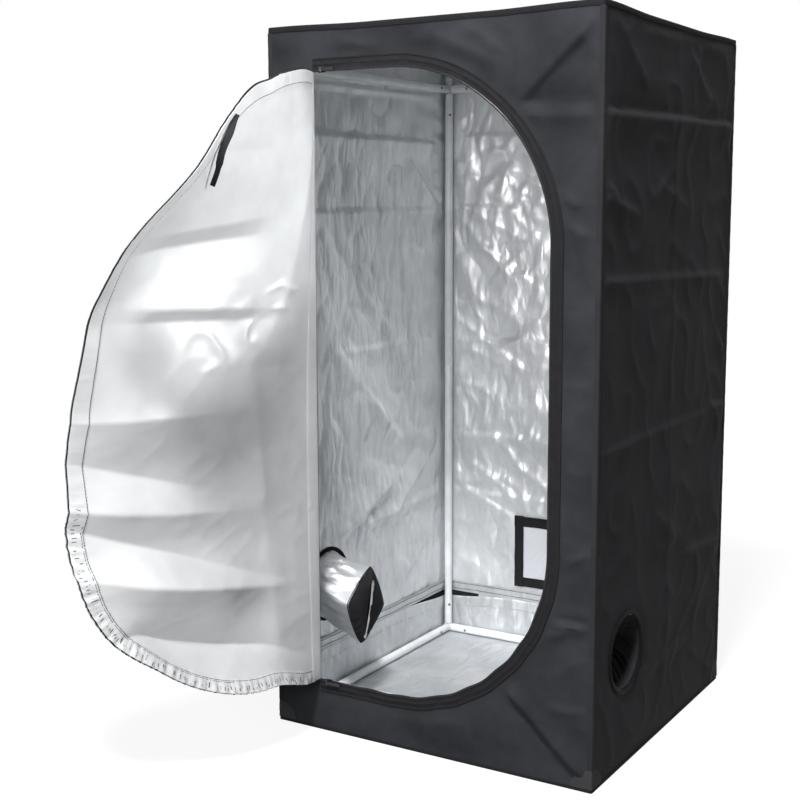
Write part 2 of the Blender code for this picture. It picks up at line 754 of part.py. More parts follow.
def make_right_sleeve():
    """The right duct sleeve is pushed inwards and gathered in pleats by its cuff."""
    root = PORT_RADIUS - FIT - SLEEVE_CLOTH / 2
    start = SKIN_X
    rings = []
    for i in range(SLEEVE_STEPS + 1):
        share = i / SLEEVE_STEPS
        grip = ease(max(0.0, (share - 0.12) / 0.88))
        size = mix(root, RIGHT_MOUTH_SIZE / 2, grip)
        rings.append(pinched_ring(
            start - RIGHT_SLEEVE_LENGTH * share, RIGHT_PORT_Y, RIGHT_PORT_Z,
            size, size, 2.0, 0.0, 6, 0.14 * grip))
    cloth_tube("right_port_sleeve", rings, SLEEVE_CLOTH, silver_cloth("right_port_sleeve"))
    rings = []
    for i in range(CUFF_STEPS + 1):
        share = i / CUFF_STEPS
        size = mix(RIGHT_MOUTH_SIZE / 2, SLIT_WIDTH, share * share)
        rings.append(pinched_ring(
            start - RIGHT_SLEEVE_LENGTH - 2 * FIT - CUFF_LENGTH * share,
            RIGHT_PORT_Y, RIGHT_PORT_Z,
            size, size, 2.0, 0.0, 6, 0.14))
    cloth_tube("right_port_cuff", rings, CUFF_CLOTH, black_tape("right_port_cuff"))


# The vent window

def make_vent():
    """A net behind the window in the back wall, held by a border of hook-and-loop tape."""
    face = SKIN_Y - CLOTH - FIT
    lap = VENT_TAPE - NET_LAP + FIT
    left = -VENT_WIDTH / 2 + lap - NET_LAP / 2
    right = -left
    low = VENT_BOTTOM + lap - NET_LAP / 2
    high = VENT_BOTTOM + VENT_HEIGHT - lap + NET_LAP / 2
    border = NET_LAP
    cell_w = (right - left - 2 * border + NET_STRAND) / NET_COLUMNS
    cell_h = (high - low - 2 * border + NET_STRAND) / NET_ROWS
    loops = [rectangle(left, low, right, high)]
    for column in range(NET_COLUMNS):
        for row in range(NET_ROWS):
            gap_x = left + border + column * cell_w
            gap_z = low + border + row * cell_h
            loops.append(rectangle(gap_x, gap_z, gap_x + cell_w - NET_STRAND,
                                   gap_z + cell_h - NET_STRAND))
    sheet("vent_net", loops, NET_THICKNESS, FACING_FRONT, (0.0, face - NET_THICKNESS / 2, 0.0),
          white_net("vent_net"))
    frame_y = face - NET_THICKNESS - FIT - VENT_TAPE_THICKNESS / 2
    half = VENT_WIDTH / 2
    top = VENT_BOTTOM + VENT_HEIGHT
    outer = rectangle(-half, VENT_BOTTOM, half, top)
    inner = rectangle(-half + VENT_TAPE, VENT_BOTTOM + VENT_TAPE, half - VENT_TAPE, top - VENT_TAPE)
    sheet("vent_hook_tape", [outer, inner], VENT_TAPE_THICKNESS, FACING_FRONT,
          (0.0, frame_y, 0.0), black_tape("vent_hook_tape"))


# The door

def through_table(table, share):
    """Read a table of (place, value) along a smooth line through its rows."""
    last = len(table) - 1
    slopes = []
    for i in range(last + 1):
        before = table[max(i - 1, 0)]
        after = table[min(i + 1, last)]
        slopes.append((after[1] - before[1]) / (after[0] - before[0]))
    i = max(k for k in range(last) if table[k][0] <= max(share, 0.0))
    width = table[i + 1][0] - table[i][0]
    part = (share - table[i][0]) / width
    rise = ease(part)
    lead = part * (1 - part) ** 2 * width * slopes[i]
    trail = part ** 2 * (1 - part) * width * slopes[i + 1]
    return mix(table[i][1], table[i + 1][1], rise) + lead - trail


def smooth_table(table, share):
    """Read a table of (place, value), with an eased passage between its rows."""
    for (place, value), (next_place, next_value) in zip(table, table[1:]):
        if share <= next_place:
            part = (share - place) / (next_place - place)
            return mix(value, next_value, ease(min(max(part, 0.0), 1.0)))
    return table[-1][1]


def door_fold(reach, share):
    """How far the folds push the cloth towards the black side, at a reach from the hinge."""
    across = reach / (DOOR_FAR_X - HINGE_X)
    lines = [(mix(at_hinge, at_edge, across), depth)
             for at_hinge, at_edge, depth in DOOR_FOLD_SHARES]
    return DOOR_FOLD_DEPTH * smooth_table(lines, share) * min(1.0, reach / DOOR_FOLD_START)


def door_place(reach, z, lift=0.0):
    """The cloth at a reach from the hinge and a height, lifted towards its black side.

    Folds turn the cloth about the hinge, so no point lies further from it than when closed.
    """
    share = (z - DOOR_SILL) / DOOR_HEIGHT
    swing = DOOR_OPEN_ANGLE + math.pi / 2 * through_table(DOOR_LEAN_SHARES, share)
    swing += (door_fold(reach, share) + lift) / max(reach, DOOR_FOLD_START / 2)
    return Vector((HINGE_X + reach * math.cos(swing), HINGE_Y - reach * math.sin(swing), z))


def door_normal(reach, z):
    """The direction out of the cloth's black side."""
    step = DOOR_PLAY
    across = door_place(reach + step, z) - door_place(reach - step, z)
    up = door_place(reach, z + step) - door_place(reach, z - step)
    return across.cross(up).normalized()


def make_door():
    """The cloth door and its hem, which carries the door's half of the zip."""
    hinge = (HINGE_X, HINGE_Y, DOOR_SILL)
    inset = DOOR_PLAY + ZIP_TAPE + FIT
    far = door_edge(-inset, DOOR_COLUMNS, DOOR_RISE_STEPS)[DOOR_COLUMNS:-DOOR_COLUMNS]
    work = bmesh.new()
    rows = []
    for x, z in far:
        width = x - HINGE_X
        row = []
        for i in range(DOOR_COLUMNS + 1):
            row.append(work.verts.new(door_place(width * i / DOOR_COLUMNS, z)))
        rows.append(row)
    for row, following in zip(rows, rows[1:]):
        for i in range(DOOR_COLUMNS):
            work.faces.new((row[i], following[i], following[i + 1], row[i + 1]))
    mesh = bpy.data.meshes.new("door_panel")
    work.to_mesh(mesh)
    work.free()
    panel = add_part("door_panel", mesh, silver_cloth("door_panel"))
    cloth = panel.modifiers.new("cloth", "SOLIDIFY")
    cloth.thickness = CLOTH
    cloth.offset = 0.0
    put_origin(panel, hinge)

    def path_at(inward, lift):
        places = []
        for x, z in door_edge(-DOOR_PLAY - inward, DOOR_COLUMNS, DOOR_RISE_STEPS):
            reach = max(x - HINGE_X, DOOR_HEM_START)
            places.append(door_place(reach, z) + door_normal(reach, z) * lift)
        return places

    half = HEM_THICKNESS / 2
    section = [
        (0.0, -half), (ZIP_TAPE, -half), (ZIP_TAPE, half), (TEETH_WIDTH + FIT, half),
        (TEETH_WIDTH, TEETH_HEIGHT), (0.0, TEETH_HEIGHT),
    ]
    hem = band("door_hem", section, path_at, False, black_tape("door_hem"))
    put_origin(hem, hinge)


def make_tie_strap():
    """The strap that ties the rolled door; it hangs on the lined side from the hem's seam."""
    arc_x = DOOR_FAR_X - DOOR_CORNER
    seam = DOOR_CORNER - DOOR_PLAY - ZIP_TAPE
    across = HINGE_X + STRAP_REACH - arc_x
    top = DOOR_HEAD - DOOR_CORNER + math.sqrt(seam ** 2 - across ** 2) - STRAP_WIDTH
    near = -CLOTH / 2 - STRAP_STAND_OFF
    steps = 6
    work = bmesh.new()
    rings = []
    for i in range(steps + 1):
        down = STRAP_LENGTH * i / steps
        narrow = down > STRAP_LENGTH - STRAP_END
        width = STRAP_END_WIDTH if narrow else STRAP_WIDTH
        ring = []
        for side, lift in ((-1, near), (1, near), (1, near - STRAP_THICKNESS),
                           (-1, near - STRAP_THICKNESS)):
            reach = STRAP_REACH + side * width / 2
            z = top - down
            ring.append(work.verts.new(door_place(reach, z) + door_normal(reach, z) * lift))
        rings.append(ring)
    for ring, following in zip(rings, rings[1:]):
        for i in range(4):
            j = (i + 1) % 4
            work.faces.new((ring[i], ring[j], following[j], following[i]))
    work.faces.new(rings[0])
    work.faces.new(rings[-1])
    bmesh.ops.recalc_face_normals(work, faces=work.faces)
    mesh = bpy.data.meshes.new("door_tie_strap")
    work.to_mesh(mesh)
    work.free()
    strap = add_part("door_tie_strap", mesh, black_tape("door_tie_strap"))
    put_origin(strap, door_place(STRAP_REACH, top) + door_normal(STRAP_REACH, top) * near)


# The zip sliders

def make_sliders():
    """A slider at each end of the zip, clasping the tape's edge, with a pull on its bar."""
    tape_back = -SKIN_Y - FIT
    front_in = tape_back - TEETH_HEIGHT - FIT
    front_out = front_in - SLIDER_PLATE
    back_in = tape_back + FIT
    back_out = back_in + SLIDER_PLATE
    bar_y = front_out - PULL_EYE - FIT
    ear_out = bar_y - BAIL_BAR
    ear_in = front_out + SLIDER_PLATE / 2
    eye = BAIL_BAR / 2 + FIT
    x = HINGE_X + SLIDER_REST
    for level, edge_z, up in (("lower", DOOR_SILL, 1), ("upper", DOOR_HEAD, -1)):
        post_in = edge_z + up * FIT
        post_out = post_in + up * SLIDER_POST
        far = edge_z - up * SLIDER_DEPTH
        loop = [
            (front_out, far), (front_in, far), (front_in, post_in), (back_in, post_in),
            (back_in, far), (back_out, far), (back_out, post_out), (front_out, post_out),
        ]
        name = level + "_zip_slider"
        body = sheet(name, [loop], SLIDER_LENGTH, FACING_SIDE, (x, 0.0, 0.0), black_metal(name))
        mesh = evaluated_mesh(body)
        place = body.matrix_world.copy()
        bpy.data.objects.remove(body, do_unlink=True)
        body = add_part(name, mesh, black_metal(name), place)
        put_origin(body, (x, tape_back, edge_z))
        middle = (far + post_out) / 2
        half_gap = PULL_WIDTH / 2 + FIT
        ears = []
        for side in (-1, 1):
            ear_z = middle + side * (half_gap + BAIL_EAR / 2)
            work = bmesh.new()
            bmesh.ops.create_cube(work, size=1.0)
            bmesh.ops.scale(work, verts=work.verts,
                            vec=(2 * BAIL_EAR, ear_in - ear_out, BAIL_EAR))
            mesh = bpy.data.meshes.new("ear")
            work.to_mesh(mesh)
            work.free()
            ears.append(add_part(f"{name}_ear_{side}", mesh, black_metal(name),
                                 Matrix.Translation((x, (ear_in + ear_out) / 2, ear_z))))
        work = bmesh.new()
        bmesh.ops.create_cone(work, cap_ends=True, segments=8, radius1=BAIL_BAR / 2,
                              radius2=BAIL_BAR / 2, depth=2 * half_gap + BAIL_EAR)
        mesh = bpy.data.meshes.new("bar")
        work.to_mesh(mesh)
        work.free()
        ears.append(add_part(name + "_bar", mesh, black_metal(name),
                             Matrix.Translation((x, bar_y, middle))))
        union_with(body, ears)
        start = math.asin(PULL_THICKNESS / 2 / PULL_EYE)
        knuckle = [start + (2 * math.pi - 2 * start) * i / 12 for i in range(13)]
        outline = [(PULL_EYE * math.cos(a), PULL_EYE * math.sin(a)) for a in knuckle]
        outline += [(PULL_LENGTH, -PULL_THICKNESS / 2), (PULL_LENGTH, PULL_THICKNESS / 2)]
        hole = circle(0.0, 0.0, eye, 12)
        name = level + "_zip_pull"
        sheet(name, [outline, hole], PULL_WIDTH, Matrix.Identity(4), (x, bar_y, middle),
              black_metal(name))


make_walls()
make_floor_and_roof()
make_corner_bindings()
make_edge_bands()
make_corner_patches()
make_opening_tape()
make_tray()
make_uprights()
make_rails()
make_connectors()
make_hanging_bars()
make_port_rings()
make_left_sleeve()
make_right_sleeve()
make_vent()
make_door()
make_tie_strap()
make_sliders()
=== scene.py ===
import math

import bmesh
import bpy
import numpy as np
from mathutils import Matrix, Vector, noise


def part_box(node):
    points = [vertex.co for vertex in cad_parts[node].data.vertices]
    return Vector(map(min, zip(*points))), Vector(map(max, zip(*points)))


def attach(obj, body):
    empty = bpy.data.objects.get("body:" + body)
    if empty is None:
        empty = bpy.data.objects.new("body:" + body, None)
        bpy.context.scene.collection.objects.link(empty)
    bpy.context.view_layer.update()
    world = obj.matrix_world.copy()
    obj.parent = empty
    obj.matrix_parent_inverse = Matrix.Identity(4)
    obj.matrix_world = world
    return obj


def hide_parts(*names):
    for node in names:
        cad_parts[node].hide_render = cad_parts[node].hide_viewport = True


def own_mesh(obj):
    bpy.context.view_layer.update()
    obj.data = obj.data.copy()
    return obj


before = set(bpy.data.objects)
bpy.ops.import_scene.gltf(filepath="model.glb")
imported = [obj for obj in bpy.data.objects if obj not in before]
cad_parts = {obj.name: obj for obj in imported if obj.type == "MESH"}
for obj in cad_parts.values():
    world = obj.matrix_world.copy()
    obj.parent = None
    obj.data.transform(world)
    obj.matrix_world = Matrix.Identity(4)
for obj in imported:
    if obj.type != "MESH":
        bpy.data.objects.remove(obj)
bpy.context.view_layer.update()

# The studio: a camera a little above the middle of the tent, to the right of its door, on a
# white floor. A soft lamp high in front, a large weak one low in front, and a narrow spot from
# the right that reaches only the silver side of the open door's head.
view = bpy.data.cameras.new("camera")
view.lens = 60.3
view.sensor_width = 36.0
camera = bpy.data.objects.new("camera", view)
bpy.context.scene.collection.objects.link(camera)
camera.matrix_world = (
    Matrix.Translation((1.0931, -2.1650, 0.9209))
    @ Matrix.Rotation(math.radians(31.49), 4, "Z")
    @ Matrix.Rotation(math.radians(90.0 - 8.31), 4, "X")
    @ Matrix.Rotation(math.radians(-0.22), 4, "Z")
)
bpy.context.scene.camera = camera
bpy.context.scene.view_settings.view_transform = "Standard"


def hang_lamp(name, kind, place, target, watts, **settings):
    """A lamp at a place, turned to its target."""
    lamp = bpy.data.lights.new(name, kind)
    lamp.energy = watts
    for setting, value in settings.items():
        setattr(lamp, setting, value)
    holder = bpy.data.objects.new(name, lamp)
    holder.location = place
    holder.rotation_euler = (Vector(target) - Vector(place)).to_track_quat("-Z", "Y").to_euler()
    bpy.context.scene.collection.objects.link(holder)


hang_lamp("key_lamp", "AREA", (0.69, -2.23, 3.92), (0.0, -0.1, 0.6), 190.0,
          shape="DISK", size=0.6)
hang_lamp("front_lamp", "AREA", (0.35, -3.3, 1.35), (0.0, 0.0, 0.6), 52.0,
          shape="DISK", size=1.2)
hang_lamp("snoot", "SPOT", (1.9, -0.75, 1.32), (-0.19, -0.56, 0.99), 270.0,
          spot_size=math.radians(18.5), spot_blend=0.7, shadow_soft_size=0.12)


def fill(node, sockets):
    """Give a node's sockets their values, or links from the sockets of other nodes."""
    for name, value in sockets.items():
        if isinstance(value, bpy.types.NodeSocket):
            node.id_data.links.new(value, node.inputs[name])
        else:
            node.inputs[name].default_value = value


def add_node(tree, kind, sockets, **settings):
    """Add a shader node and fill its sockets."""
    node = tree.nodes.new("ShaderNode" + kind)
    for setting, value in settings.items():
        setattr(node, setting, value)
    fill(node, sockets)
    return node


def largest(tree, *values):
    """The largest of some values."""
    found = values[0]
    for value in values[1:]:
        found = add_node(tree, "Math", {0: found, 1: value}, operation="MAXIMUM").outputs[0]
    return found


def seen_rays(tree):
    """1 for what the camera sees, also in mirrors and through clear things, or else 0."""
    rays = add_node(tree, "LightPath", {}).outputs
    return largest(tree, rays["Is Camera Ray"], rays["Is Glossy Ray"],
                   rays["Is Transmission Ray"])


def start_material(name):
    """A new material, its node tree and its shader."""
    material = bpy.data.materials.new(name)
    material.use_nodes = True
    return material, material.node_tree, material.node_tree.nodes["Principled BSDF"]


world = bpy.data.worlds.new("studio")
bpy.context.scene.world = world
world.use_nodes = True
air = world.node_tree
level = add_node(air, "MapRange", {"To Min": 0.05, "To Max": 1.0, "Value": seen_rays(air)})
fill(air.nodes["Background"], {"Color": (1.0, 1.0, 1.0, 1.0),
                               "Strength": level.outputs["Result"]})

bpy.ops.object.select_all(action="DESELECT")
bpy.ops.mesh.primitive_plane_add(size=12.0, location=(0.0, 0.0, 0.0))
studio_floor = bpy.context.object
studio_floor.name = "studio_floor"
paper, tree, shader = start_material("studio_paper")
place = add_node(tree, "TexCoord", {}).outputs["Object"]
reach = add_node(tree, "VectorMath", {0: place}, operation="LENGTH").outputs["Value"]
far = add_node(tree, "MapRange", {"From Min": 0.9, "From Max": 2.6, "To Min": 0.88,
                                  "To Max": 1.0, "Value": reach},
               interpolation_type="SMOOTHSTEP").outputs["Result"]
level = add_node(tree, "Math", {0: seen_rays(tree), 1: far}, operation="MULTIPLY")
fill(shader, {"Base Color": (0.14, 0.14, 0.14, 1.0), "Roughness": 0.9,
              "Emission Color": (1.0, 1.0, 1.0, 1.0), "Emission Strength": level.outputs[0]})
studio_floor.data.materials.append(paper)

# The frame's tubes: thin steel tube with a white powder coat, cut to length, with a brass
# coloured spring button near each end that snaps into the corner piece inside the tube.
def add_noise(tree, place, scale, detail=2.0, roughness=0.5, distortion=0.0, **settings):
    """A noise texture at a place."""
    return add_node(tree, "TexNoise", {"Scale": scale, "Detail": detail, "Vector": place,
                                       "Roughness": roughness, "Distortion": distortion},
                    **settings).outputs["Fac"]


def add_tint(tree, share, dark, pale, low=0.0, high=1.0, **settings):
    """A colour that runs from dark to pale as the share runs from low to high."""
    tint = add_node(tree, "ValToRGB", {"Fac": share}, **settings)
    for stop, at, color in zip(tint.color_ramp.elements, (low, high), (dark, pale)):
        stop.position = at
        stop.color = (*color, 1.0)
    return tint.outputs["Color"]


def add_range(tree, share, low, high, **settings):
    """A value that runs from low to high with the share."""
    return add_node(tree, "MapRange", {"To Min": low, "To Max": high, "Value": share},
                    **settings).outputs["Result"]


def add_bump(tree, height, strength, distance, under=None, **settings):
    """A bumped surface, on top of the bumps under it."""
    sockets = {"Strength": strength, "Distance": distance, "Height": height}
    if under is not None:
        sockets["Normal"] = under
    return add_node(tree, "Bump", sockets, **settings).outputs["Normal"]


def speckled(name, scale, detail, dark, pale, sockets):
    """A material that varies between two colours, and its speckle."""
    material, tree, shader = start_material(name)
    speckle = add_noise(tree, add_node(tree, "TexCoord", {}).outputs["Object"], scale, detail)
    fill(shader, {"Base Color": add_tint(tree, speckle, dark, pale), **sockets})
    return material, tree, shader, speckle


white_coat, tree, shader = start_material("white_coat")
place = add_node(tree, "TexCoord", {}).outputs["Object"]
peel = add_noise(tree, place, 900.0)
scuff = add_noise(tree, place, 26.0, 5.0)
fill(shader, {"Metallic": 0.0, "Coat Weight": 0.25, "Coat Roughness": 0.15,
              "Base Color": add_tint(tree, scuff, (0.78, 0.80, 0.82), (0.88, 0.90, 0.92),
                                     0.35, 0.62),
              "Roughness": add_range(tree, scuff, 0.28, 0.46),
              "Normal": add_bump(tree, peel, 0.12, 0.0003)})
button_steel = speckled("button_steel", 700.0, 2.0, (0.16, 0.15, 0.14), (0.34, 0.32, 0.29),
                        {"Metallic": 0.9, "Roughness": 0.32})[0]


def apply_modifiers(piece):
    """Make the modifiers and the place of a piece final."""
    bpy.ops.object.select_all(action="DESELECT")
    bpy.context.view_layer.objects.active = piece
    piece.select_set(True)
    for modifier in list(piece.modifiers):
        bpy.ops.object.modifier_apply(modifier=modifier.name)
    bpy.ops.object.transform_apply(location=True, rotation=True, scale=True)


def add_wall(piece, thickness, edge_width):
    """Give a thin piece its wall, inwards, and small rounded edges."""
    wall = piece.modifiers.new("wall", "SOLIDIFY")
    wall.thickness = thickness
    wall.offset = -1.0
    edge = piece.modifiers.new("edge", "BEVEL")
    edge.width = edge_width
    edge.segments = 2
    apply_modifiers(piece)


def put_on(piece, *materials):
    """Put materials on a piece in place of the ones it has."""
    piece.data.materials.clear()
    for material in materials:
        piece.data.materials.append(material)


def join_pieces(piece, others):
    """Join other pieces into a piece."""
    bpy.ops.object.select_all(action="DESELECT")
    for each in [piece, *others]:
        each.select_set(True)
    bpy.context.view_layer.objects.active = piece
    bpy.ops.object.join()


def steel_tube(name, low, high, radius, buttons=(), button_side=(0, -1, 0)):
    """A tube from low to high, open at both ends, with buttons at distances from low."""
    low, high = Vector(low), Vector(high)
    axis = high - low
    bpy.ops.object.select_all(action="DESELECT")
    bpy.ops.mesh.primitive_cylinder_add(
        vertices=36, radius=radius, depth=axis.length, end_fill_type="NOTHING",
        rotation=axis.to_track_quat("Z", "Y").to_euler(), location=(low + high) / 2)
    tube = bpy.context.object
    tube.name = name
    add_wall(tube, 0.001, 0.0003)
    put_on(tube, white_coat, button_steel)
    studs = []
    for distance in buttons:
        bpy.ops.object.select_all(action="DESELECT")
        bpy.ops.mesh.primitive_uv_sphere_add(
            segments=16, ring_count=8, radius=0.0031,
            location=low + axis.normalized() * distance + Vector(button_side) * (radius - 0.0010))
        stud = bpy.context.object
        apply_modifiers(stud)
        put_on(stud, white_coat, button_steel)
        for face in stud.data.polygons:
            face.material_index = 1
        studs.append(stud)
    if studs:
        join_pieces(tube, studs)
    bpy.ops.object.shade_smooth_by_angle(angle=math.radians(40.0))
    return tube


CORNERS = (("front_left", -1, -1), ("front_right", 1, -1),
           ("back_left", -1, 1), ("back_right", 1, 1))
for corner, _, _ in CORNERS:
    low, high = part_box("lower_pole_" + corner)
    x = (low[0] + high[0]) / 2
    y = (low[1] + high[1]) / 2
    inward = Vector((-x, -y, 0.0)).normalized()
    pole = steel_tube("tube_lower_" + corner, (x, y, low[2]), (x, y, high[2]), 0.008,
                      (0.042,), inward)
    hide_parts("lower_pole_" + corner)
    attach(pole, "tent")
    low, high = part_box("upper_pole_" + corner)
    shoulder = low[2] + 0.050
    pole = steel_tube("tube_upper_" + corner, (x, y, shoulder), (x, y, high[2]), 0.008,
                      (high[2] - shoulder - 0.042,), inward)
    swage = steel_tube("tube_swage_" + corner, (x, y, low[2]), (x, y, shoulder), 0.0067)
    join_pieces(pole, [swage])
    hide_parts("upper_pole_" + corner)
    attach(pole, "tent")

for level in ("floor_rail_", "top_rail_"):
    for side, run, inward in (("front", 0, (0, 1, 0)), ("back", 0, (0, -1, 0)),
                              ("left", 1, (1, 0, 0)), ("right", 1, (-1, 0, 0))):
        low, high = map(Vector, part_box(level + side))
        begin = (low + high) / 2
        finish = begin.copy()
        begin[run], finish[run] = low[run], high[run]
        rail = steel_tube("tube_" + level + side, begin, finish, 0.008,
                          (0.036, (finish - begin).length - 0.036), inward)
        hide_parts(level + side)
        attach(rail, "tent")

# The corner pieces: white moulded nylon blocks with round arms that push into the tubes. Their
# shapes are the part's own; the nylon is slightly uneven and lets a little light in.
white_nylon, tree, shader, mould = speckled(
    "white_nylon", 320.0, 4.0, (0.62, 0.64, 0.66), (0.78, 0.80, 0.81),
    {"Subsurface Weight": 0.05, "Roughness": 0.42})
fill(shader, {"Normal": add_bump(tree, mould, 0.15, 0.0004)})
for level in ("floor_corner_", "top_corner_"):
    for corner, _, _ in CORNERS:
        put_on(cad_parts[level + corner], white_nylon)

# The hanging bars: two white tubes across the top rails, each with a sprung clip of the same
# coated steel under both ends, so that the bar slides along the rails with the lamp on it.
for side in ("left", "right"):
    low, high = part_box("hanging_bar_" + side)
    x = (low[0] + high[0]) / 2
    z = high[2] - 0.008
    clip_z = z - 0.0163
    bar = steel_tube("bar_tube_" + side, (x, low[1], z), (x, high[1], z), 0.008)
    clips = []
    for y in (-0.289, 0.289):
        bpy.ops.object.select_all(action="DESELECT")
        bpy.ops.mesh.primitive_cylinder_add(vertices=48, radius=0.0103, depth=0.014,
                                            end_fill_type="NOTHING", location=(x, y, clip_z),
                                            rotation=(0.0, math.pi / 2, 0.0))
        clip = bpy.context.object
        apply_modifiers(clip)
        work = bmesh.new()
        work.from_mesh(clip.data)
        under = [face for face in work.faces if face.calc_center_median().z < clip_z - 0.0036]
        bmesh.ops.delete(work, geom=under, context="FACES")
        work.to_mesh(clip.data)
        work.free()
        add_wall(clip, 0.0018, 0.0004)
        put_on(clip, white_coat)
        clips.append(clip)
    join_pieces(bar, clips)
    bpy.ops.object.shade_smooth_by_angle(angle=math.radians(40.0))
    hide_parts("hanging_bar_" + side)
    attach(bar, side + "_bar")

# The cover's four walls: coated black oxford cloth outside, laminated with silver film inside,
# cut flat, folded when packed and now hung on the frame, so it keeps its packing creases.
black_oxford, tree, shader = start_material("black_oxford")
cloth_uv = add_node(tree, "UVMap", {}, uv_map="cloth").outputs["UV"]
threads = [add_node(tree, "TexWave", {"Scale": 262.0, "Distortion": 0.6, "Detail": 1.0,
                                      "Vector": cloth_uv}, bands_direction=way).outputs["Fac"]
           for way in ("X", "Y")]
over_under = add_node(tree, "TexChecker", {"Scale": 833.0, "Vector": cloth_uv})
weave = add_node(tree, "Mix", {"Factor": over_under.outputs["Fac"], "A": threads[0],
                               "B": threads[1]}).outputs["Result"]
dust = add_noise(tree, cloth_uv, 7.0, 6.0, 0.62)
rumple = add_noise(tree, cloth_uv, 34.0, 4.0, 0.55)
packing = add_noise(tree, cloth_uv, 5.5, 3.0, 0.45, 0.5, noise_type="RIDGED_MULTIFRACTAL")
bumps = add_bump(tree, packing, 0.55, 0.0065, name="packing_bump")
bumps = add_bump(tree, rumple, 0.35, 0.0030, bumps)
fill(shader, {"IOR": 1.08, "Roughness": add_range(tree, dust, 0.52, 0.70),
              "Base Color": add_tint(tree, dust, (0.0270, 0.0272, 0.0295),
                                     (0.0400, 0.0402, 0.0440), 0.32, 0.70, name="tint"),
              "Normal": add_bump(tree, weave, 0.35, 0.00018, bumps)})

silver_film, tree, shader = start_material("silver_film")
cloth_uv = add_node(tree, "UVMap", {}, uv_map="cloth", name="cloth_uv").outputs["UV"]
haze = add_noise(tree, cloth_uv, 11.0, 6.0, 0.6)
crackle = add_noise(tree, cloth_uv, 26.0, 4.0, noise_type="RIDGED_MULTIFRACTAL")
cells = add_node(tree, "TexVoronoi", {"Scale": 420.0, "Randomness": 0.55, "Vector": cloth_uv})
bumps = add_bump(tree, crackle, 0.30, 0.0011, name="crackle_bump")
fill(shader, {"Metallic": 0.15, "Roughness": add_range(tree, haze, 0.30, 0.46, name="gloss"),
              "Base Color": add_tint(tree, haze, (0.58, 0.590, 0.600), (0.68, 0.692, 0.703),
                                     0.30, 0.68, name="tint"),
              "Normal": add_bump(tree, cells.outputs["Distance"], 0.22, 0.0002, bumps)})


def retint(source, name, dark, pale):
    """A copy of a cloth's material in other colours, and its nodes."""
    material = source.copy()
    material.name = name
    nodes = material.node_tree.nodes
    for stop, color in zip(nodes["tint"].color_ramp.elements, (dark, pale)):
        stop.color = (*color, 1.0)
    return material, nodes


# The walls' and the roof's silver insides: the same film as the door's, more crumpled, in a paler
# tint that is painted light.
crumpled_film_painted_lighter, nodes = retint(silver_film, "crumpled_film_painted_lighter", (0.66, 0.672, 0.685),
                              (0.84, 0.852, 0.865))
tree = crumpled_film_painted_lighter.node_tree
cloth_uv = nodes["cloth_uv"].outputs["UV"]
sway = add_noise(tree, cloth_uv, 9.0).node.outputs["Color"]
swayed = add_node(tree, "VectorMath", {0: sway, 1: (0.022, 0.022, 0.0), 2: cloth_uv},
                  operation="MULTIPLY_ADD").outputs["Vector"]
turned = add_node(tree, "Mapping", {"Rotation": (0.0, 0.0, 0.7), "Scale": (1.5, 0.6, 1.0),
                                    "Vector": swayed}).outputs["Vector"]
coarse, fine = [add_node(tree, "TexVoronoi", {"Scale": scale, "Vector": turned},
                         feature="DISTANCE_TO_EDGE").outputs["Distance"]
                for scale in (10.0, 27.0)]
facets = add_node(tree, "Math", {0: fine, 1: 0.38, 2: coarse}, operation="MULTIPLY_ADD")
fill(nodes["crackle_bump"], {"Strength": 0.60, "Distance": 0.0120,
                             "Height": facets.outputs["Value"]})
fill(nodes["Principled BSDF"], {"Metallic": 0.48})


def ramp(value, low, high):
    """Rise smoothly from 0 at low to 1 at high."""
    t = np.clip((value - low) / (high - low), 0.0, 1.0)
    return t * t * (3.0 - 2.0 * t)


def crease(u, v, start, end, height, left, right, taper=0.3):
    """Height of one crease from start to end, fading over its width at its left and right."""
    run = (end[0] - start[0], end[1] - start[1])
    length = math.hypot(*run)
    along = ((u - start[0]) * run[0] + (v - start[1]) * run[1]) / length
    across = ((v - start[1]) * run[0] - (u - start[0]) * run[1]) / length
    width = np.where(across > 0.0, left, right)
    ends = ramp(along, 0.0, taper * length) * ramp(length - along, 0.0, taper * length)
    return height * ends * np.exp(-(np.abs(across) / width) ** 1.3)


def creased(out, u, v, creases, sign=1):
    """Add creases to a surface. Each is a row in 0.1 mm: where it starts and ends, its height,
    its width at its left and right, and, if it isn't 0.3, the share that tapers in 1/10000."""
    for row in creases:
        u0, v0, u1, v1, *shape = [number / 10000.0 for number in row]
        out = out + sign * crease(u, v, (u0, v0), (u1, v1), *shape)
    return out


def waves(u, v, size, seed):
    """Slow unevenness of hanging cloth, from about -1 to 1."""
    return 1.6 * np.array([noise.noise((a / size, b / size, seed)) for a, b in zip(u, v)])


def crumples(u, v, size, seed):
    """Sharp ridges between flatter facets, as packed film keeps them, from 0 to 1."""
    return np.array([(1.0 - min(1.0, 2.2 * abs(noise.noise((a / size, b / size, seed))))) ** 2
                     for a, b in zip(u, v)])


def cloth_piece(name, points, faces, uvs, outer, inner, thickness=0.0012, angle=60.0):
    """Make a sheet of two faces from the points of its outer face."""
    mesh = bpy.data.meshes.new(name)
    mesh.from_pydata([tuple(p) for p in points], [], [tuple(f) for f in faces])
    layer = mesh.uv_layers.new(name="cloth")
    at = np.empty(len(mesh.loops), dtype=np.int64)
    mesh.loops.foreach_get("vertex_index", at)
    layer.data.foreach_set("uv", np.asarray(uvs, dtype=np.float32)[at].ravel())
    piece = bpy.data.objects.new(name, mesh)
    bpy.context.scene.collection.objects.link(piece)
    put_on(piece, outer, inner)
    if thickness:
        add_thickness(piece, thickness, 0)
    apply_modifiers(piece)
    bpy.ops.object.shade_smooth_by_angle(angle=math.radians(angle))
    return piece


